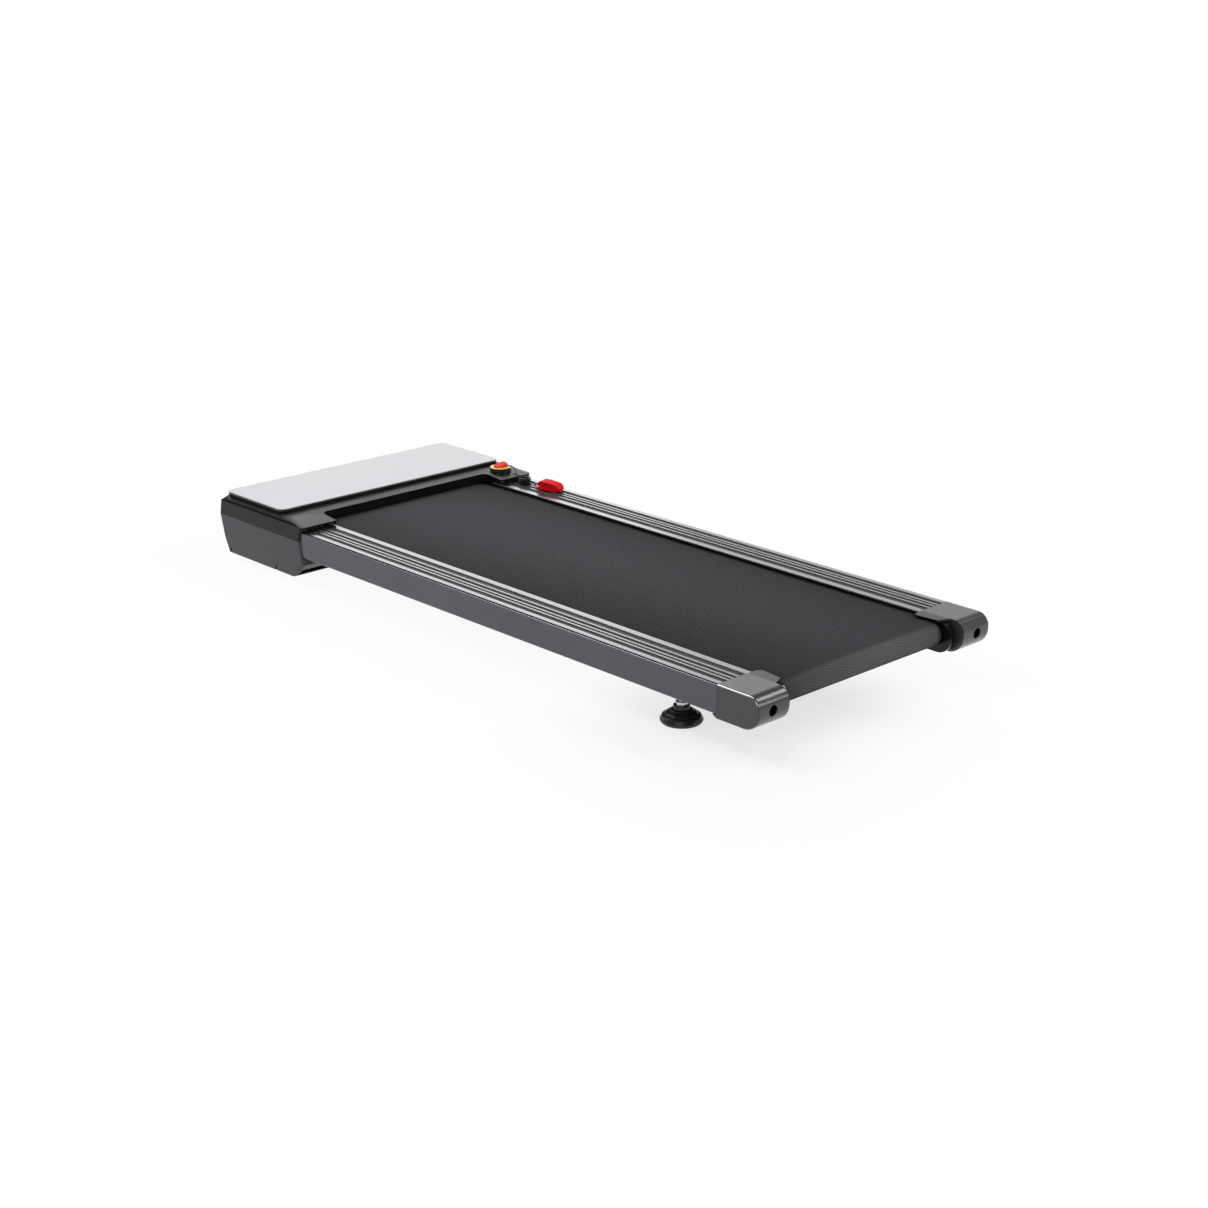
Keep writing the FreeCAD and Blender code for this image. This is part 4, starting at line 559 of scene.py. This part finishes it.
grained_finishes = {
    "plate_paint": dict(dark=(0.50, 0.492, 0.517), light=(0.545, 0.533, 0.562), rough=(0.28, 0.36),
                        grain=2600.0, strength=0.05),
    "frame_plastic": dict(dark=(0.010, 0.010, 0.011), light=(0.016, 0.016, 0.018), rough=(0.35, 0.48), grain=1700.0),
    "deck_wood": dict(dark=(0.010, 0.010, 0.010), light=(0.018, 0.017, 0.016), rough=(0.5, 0.65),
                      grain=700.0, cloud=30.0),
    "black_rubber": dict(dark=(0.012, 0.012, 0.012), light=(0.022, 0.022, 0.022), rough=(0.62, 0.8),
                         grain=1100.0, strength=0.25),
    "black_steel": dict(dark=(0.016, 0.016, 0.018), light=(0.028, 0.028, 0.031), rough=(0.36, 0.5),
                        grain=1000.0, strength=0.2),
    "foot_plastic": dict(dark=(0.006, 0.006, 0.0065), light=(0.011, 0.011, 0.012), rough=(0.26, 0.36),
                         strength=0.05, shine=0.4),
    "motor_paint": dict(dark=(0.022, 0.022, 0.025), light=(0.034, 0.034, 0.038), rough=(0.3, 0.4), grain=1400.0),
    "board_green": dict(dark=(0.006, 0.05, 0.02), light=(0.012, 0.085, 0.035), rough=(0.35, 0.5), grain=900.0),
    "socket_plastic": dict(dark=(0.006, 0.006, 0.006), light=(0.011, 0.011, 0.011), rough=(0.16, 0.26),
                           grain=1800.0, strength=0.04),
    "switch_red": dict(dark=(0.42, 0.010, 0.008), light=(0.50, 0.014, 0.010), rough=(0.14, 0.24),
                       grain=1800.0, strength=0.03),
    "clip_red": dict(dark=(0.70, 0.0008, 0.007), light=(0.78, 0.0012, 0.010), rough=(0.44, 0.54),
                     strength=0.03, shine=0.12),
    "cord_black": dict(dark=(0.003, 0.003, 0.003), light=(0.007, 0.007, 0.007), rough=(0.26, 0.36),
                       grain=2600.0, cloud=600.0, strength=0.2, shine=0.25),
    "ferrule_white": dict(dark=(0.74, 0.74, 0.75), light=(0.82, 0.82, 0.83), rough=(0.2, 0.3),
                          grain=1800.0, strength=0.03),
}
drawn_finishes = {
    "steel": dict(dark=(0.50, 0.50, 0.52), light=(0.66, 0.66, 0.68), rough=(0.22, 0.36)),
    "pulley_metal": dict(dark=(0.46, 0.46, 0.47), light=(0.62, 0.62, 0.63), rough=(0.28, 0.42), along=300.0),
}
finish = {
    **{slot: grained(slot, **values) for slot, values in grained_finishes.items()},
    **{slot: drawn(slot, **values) for slot, values in drawn_finishes.items()},
    "rail_paint": rail_finish(),
    "foot_rail_metal": foot_rail_finish(),
    "cap_plastic": cap_finish(),
    "cover_plastic": cover_finish(),
    "key_yellow": key_disc_finish(),
    "key_red": key_grip_finish(),
    "belt_fabric": belt_finish(),
}


def dress(piece, slot):
    piece.data.materials.clear()
    piece.data.materials.append(finish[slot])


for node_name, node in nodes.items():
    dress(node, slot_of[node_name])


# Moulded and formed pieces with their edges eased

merge_gap = 0.000002
flat_angle = math.radians(1.0)
sharp_angle = math.radians(35.0)
crease_angle = math.radians(40.0)

edge_widths = {
    "motor_cover": 0.0010, "top_plate": 0.0008, "plate_frame": 0.0005,
    "end_cap_left": 0.0009, "end_cap_right": 0.0009,
    "side_rail_left": 0.0008, "side_rail_right": 0.0008,
    "foot_rail_left": 0.0007, "foot_rail_right": 0.0007,
    "foot_stud_left": 0.0006, "foot_stud_right": 0.0006,
    "foot_pad_left": 0.0010, "foot_pad_right": 0.0010,
    "key_socket": 0.0007, "key_disc": 0.0009, "key_grip": 0.0011,
    "clip_lower_jaw": 0.0012, "clip_upper_jaw": 0.0014, "lanyard_ferrule": 0.0005,
    "power_panel": 0.0005, "power_inlet": 0.0004, "switch_body": 0.0004, "switch_rocker": 0.0005,
    "transport_wheel_left": 0.0010, "transport_wheel_right": 0.0010, "front_feet": 0.0012,
}


def opened(mesh):
    bm = bmesh.new()
    bm.from_mesh(mesh)
    return bm


def smooth_faces(bm):
    for face in bm.faces:
        face.smooth = True


def close_into(bm, mesh):
    bm.to_mesh(mesh)
    bm.free()


def eased(name, width):
    """The piece with its sharp edges rounded to a width."""
    bm = opened(nodes[name].data)
    bmesh.ops.remove_doubles(bm, verts=bm.verts, dist=merge_gap)
    bmesh.ops.dissolve_limit(bm, angle_limit=flat_angle, verts=bm.verts, edges=bm.edges, delimit={"NORMAL"})
    sharp = [edge for edge in bm.edges if edge.is_manifold and edge.calc_face_angle(0.0) > sharp_angle]
    bmesh.ops.bevel(bm, geom=sharp, offset=width, offset_type="OFFSET", affect="EDGES", segments=2,
                    profile=0.5, material=-1, clamp_overlap=True)
    bmesh.ops.recalc_face_normals(bm, faces=bm.faces)
    smooth_faces(bm)
    mesh = bpy.data.meshes.new(name + "_eased")
    close_into(bm, mesh)
    mesh.set_sharp_from_angle(angle=crease_angle)
    piece = bpy.data.objects.new(name + "_eased", mesh)
    scene.collection.objects.link(piece)
    normals = piece.modifiers.new("normals", "WEIGHTED_NORMAL")
    normals.keep_sharp = True
    dress(piece, slot_of[name])
    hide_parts(name)
    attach(piece, body_of[name])
    return piece


rounded = {name: eased(name, width) for name, width in edge_widths.items()}


# Levelling feet: the thread of the studs and the ledges of the pads

level_gap = 0.000001

thread_crest, thread_root, thread_pitch = 0.00498, 0.0044, 0.0015
thread_low, thread_high = 0.0332, 0.0742
thread_steps = 16  # in a turn
ridge_sink = 0.00005  # of the ridge's foot into the root
ridge_width = 0.98 * thread_pitch

ledges = [dict(low=0.0120, high=0.0146, depth=0.0030), dict(low=0.0174, high=0.0194, depth=0.0022)]
ledge_lip = 0.00005
ledge_inside = 0.0126  # radius that the ledges leave alone
ledge_crease_angle = math.radians(25.0)


def axis_of(bm):
    """The foot of a round piece's upright axis."""
    across = [vert.co.x for vert in bm.verts]
    along = [vert.co.y for vert in bm.verts]
    return Vector((0.5 * (min(across) + max(across)), 0.5 * (min(along) + max(along)), 0.0))


def arm_of(vert, axis):
    """The level arm from an upright axis to a vertex."""
    return Vector((vert.co.x - axis.x, vert.co.y - axis.y, 0.0))


def cut_level(bm, height, gap=0.0):
    """The piece's faces parted at one height."""
    bmesh.ops.bisect_plane(bm, geom=bm.verts[:] + bm.edges[:] + bm.faces[:], dist=gap,
                           plane_co=(0, 0, height), plane_no=(0, 0, 1))


def threaded(piece):
    """The stud cut down to its root above the hexagon, with a helical ridge up to the full radius."""
    bm = opened(piece.data)
    axis = axis_of(bm)
    cut_level(bm, thread_low)
    for vert in bm.verts:
        arm = arm_of(vert, axis)
        if vert.co.z > thread_low - level_gap and arm.length > thread_root:
            vert.co = axis + arm.normalized() * thread_root + Vector((0, 0, vert.co.z))
    foot = thread_root - ridge_sink
    corners = [(foot, 0.0), (thread_crest, 0.5 * thread_pitch), (foot, ridge_width)]
    first = [bm.verts.new((axis.x + radius, axis.y, thread_low + rise)) for radius, rise in corners]
    ring = [bm.edges.new((first[k], first[(k + 1) % 3])) for k in range(3)]
    bm.faces.new(first)
    turns = (thread_high - thread_low) / thread_pitch - 1.0
    count = int(turns * thread_steps)
    spun = bmesh.ops.spin(bm, geom=ring, cent=axis, axis=(0, 0, 1), dvec=(0, 0, thread_pitch / thread_steps),
                          angle=2 * math.pi * count / thread_steps, steps=count, use_duplicate=False)
    bm.faces.new([part for part in spun["geom_last"] if isinstance(part, bmesh.types.BMVert)])
    bmesh.ops.recalc_face_normals(bm, faces=bm.faces)
    close_into(bm, piece.data)
    piece.data.set_sharp_from_angle(angle=crease_angle)


def stepped(piece):
    """Two ledges turned into the cone of the pad."""
    bm = opened(piece.data)
    axis = axis_of(bm)
    for ledge in ledges:
        low = ledge["low"]
        for height in (low, low + ledge_lip, ledge["high"]):
            cut_level(bm, height, level_gap)
        for vert in bm.verts:
            arm = arm_of(vert, axis)
            if abs(vert.co.z - low - ledge_lip) < 2 * level_gap and arm.length > ledge_inside:
                vert.co -= arm.normalized() * ledge["depth"]
    bmesh.ops.recalc_face_normals(bm, faces=bm.faces)
    smooth_faces(bm)
    close_into(bm, piece.data)
    piece.data.set_sharp_from_angle(angle=ledge_crease_angle)


for side in ("left", "right"):
    threaded(rounded["foot_stud_" + side])
    stepped(rounded["foot_pad_" + side])


# Lanyard cord

cord_diameter = 0.002
lead_points = [(0.2339, 0.4399, 0.1193), (0.2374, 0.4364, 0.1187), (0.2422, 0.4312, 0.1149), (0.2430, 0.4278, 0.1117),
               (0.2410, 0.4234, 0.1096), (0.2356, 0.4180, 0.1088), (0.2310, 0.4106, 0.1082), (0.2296, 0.4036, 0.1079),
               (0.2316, 0.3976, 0.1066), (0.2368, 0.3930, 0.1063), (0.2381, 0.3893, 0.1063)]
tail_points = [(0.2422, 0.3846, 0.0976), (0.2436, 0.3808, 0.0976), (0.2414, 0.3710, 0.0976), (0.2372, 0.3624, 0.0978),
               (0.2314, 0.3562, 0.0988), (0.2274, 0.3489, 0.0998), (0.2255, 0.3405, 0.0998)]

coil_middle = (0.228, 0.3835)
coil_radius = 0.0115
coil_foot = 0.0976
coil_start = math.radians(20.0)
layer_half_turns = [3, 3, 3, 4]
layer_rise = 0.0029
loop_spread = 0.00145  # in half a turn
half_turn_points = 7


def coil_points():
    """The bunched loops, 14 points to a turn, from the top layer down to the rail."""
    changes = len(layer_half_turns) - 1
    radius = coil_radius
    height = coil_foot + layer_rise * changes
    angle = coil_start
    spread = -loop_spread
    points = []

    def add_point():
        points.append((coil_middle[0] + radius * math.cos(angle), coil_middle[1] + radius * math.sin(angle), height))

    for layer, half_turns in enumerate(layer_half_turns):
        for k in range(half_turns * half_turn_points):
            add_point()
            angle -= math.pi / half_turn_points
            radius += spread / half_turn_points
        if layer < changes:
            for k in range(half_turn_points):
                add_point()
                angle -= math.pi / half_turn_points
                height -= layer_rise / half_turn_points
            spread = -spread
    add_point()
    return points


def cord_curve(name, points, radius):
    """The mesh of a smooth curve on the route's points, a bare line where the radius is zero."""
    data = bpy.data.curves.new(name, "CURVE")
    data.dimensions = "3D"
    spline = data.splines.new("NURBS")
    spline.points.add(len(points) - 1)
    for point, place in zip(spline.points, points):
        point.co = (*place, 1.0)
    spline.order_u = 3
    spline.use_endpoint_u = True
    data.resolution_u = 4
    data.bevel_depth = radius
    data.bevel_resolution = 3
    data.use_fill_caps = True
    curve = bpy.data.objects.new(name, data)
    scene.collection.objects.link(curve)
    bpy.context.view_layer.update()
    mesh = bpy.data.meshes.new_from_object(curve)
    bpy.data.objects.remove(curve)
    return mesh


def lanyard():
    """One cord from the key through the bunch to the clip."""
    route = lead_points + coil_points() + tail_points
    line = cord_curve("lanyard_line", route, 0.0)
    mesh = cord_curve("lanyard", route, cord_diameter / 2)
    for face in mesh.polygons:
        face.use_smooth = True
    cord = bpy.data.objects.new("lanyard", mesh)
    scene.collection.objects.link(cord)
    dress(cord, "cord_black")
    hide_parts("lanyard_lead", "lanyard_coil", "lanyard_tail")
    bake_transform(cord)


lanyard()


# Walking belt

belt_half_width = 0.180
belt_thickness = 0.0015
belt_top = 0.0913
axle_height = 0.0713
rear_axle, front_axle = -0.6087, 0.490
run_steps = 24
turn_steps = 32
belt_seam_gap = 0.00001


def edges_in(parts):
    return [part for part in parts if isinstance(part, bmesh.types.BMEdge)]


def lay_run(bm, line, travel):
    """The width line drawn along the deck in equal steps."""
    for k in range(run_steps):
        grown = bmesh.ops.extrude_edge_only(bm, edges=line)["geom"]
        ends = [part for part in grown if isinstance(part, bmesh.types.BMVert)]
        bmesh.ops.translate(bm, verts=ends, vec=(0, travel / run_steps, 0))
        line = [edge for edge in edges_in(grown) if edge.verts[0] in ends and edge.verts[1] in ends]
    return line


def turn_round(bm, line, axle):
    """The width line spun half a turn round a roller."""
    spun = bmesh.ops.spin(bm, geom=line, cent=(0, axle, axle_height), axis=(1, 0, 0), angle=-math.pi,
                          steps=turn_steps, use_duplicate=False)
    return edges_in(spun["geom_last"])


def belt_run_map(bm):
    """A UV map of the belt laid out flat, in metres across it and along its run."""
    radius = belt_top - axle_height
    uv = bm.loops.layers.uv.new("belt_run")
    for face in bm.faces:
        middle = face.calc_center_median()
        for loop in face.loops:
            place = loop.vert.co
            rise = max(-1.0, min(1.0, (place.z - axle_height) / radius))
            turned = radius * (math.pi / 2 - math.asin(rise))
            if middle.y > front_axle:
                run = front_axle + turned
            elif middle.y < rear_axle:
                run = rear_axle - turned
            elif middle.z > axle_height:
                run = place.y
            else:
                run = front_axle + math.pi * radius + (front_axle - place.y)
            loop[uv].uv = (place.x, run)


def walking_belt():
    """One loop: a width line drawn along the deck, spun round each roller and closed, then thickened."""
    bm = bmesh.new()
    corners = [bm.verts.new((x, rear_axle, belt_top)) for x in (-belt_half_width, belt_half_width)]
    line = [bm.edges.new(corners)]
    line = lay_run(bm, line, front_axle - rear_axle)
    line = turn_round(bm, line, front_axle)
    line = lay_run(bm, line, rear_axle - front_axle)
    turn_round(bm, line, rear_axle)
    bmesh.ops.remove_doubles(bm, verts=bm.verts, dist=belt_seam_gap)
    bmesh.ops.recalc_face_normals(bm, faces=bm.faces)
    belt_run_map(bm)
    smooth_faces(bm)
    mesh = bpy.data.meshes.new("walking_belt_cloth")
    close_into(bm, mesh)
    belt = bpy.data.objects.new("walking_belt_cloth", mesh)
    scene.collection.objects.link(belt)
    wall = belt.modifiers.new("thickness", "SOLIDIFY")
    wall.thickness = belt_thickness
    wall.offset = -1.0
    dress(belt, "belt_fabric")
    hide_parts("walking_belt")
    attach(belt, "frame")


walking_belt()
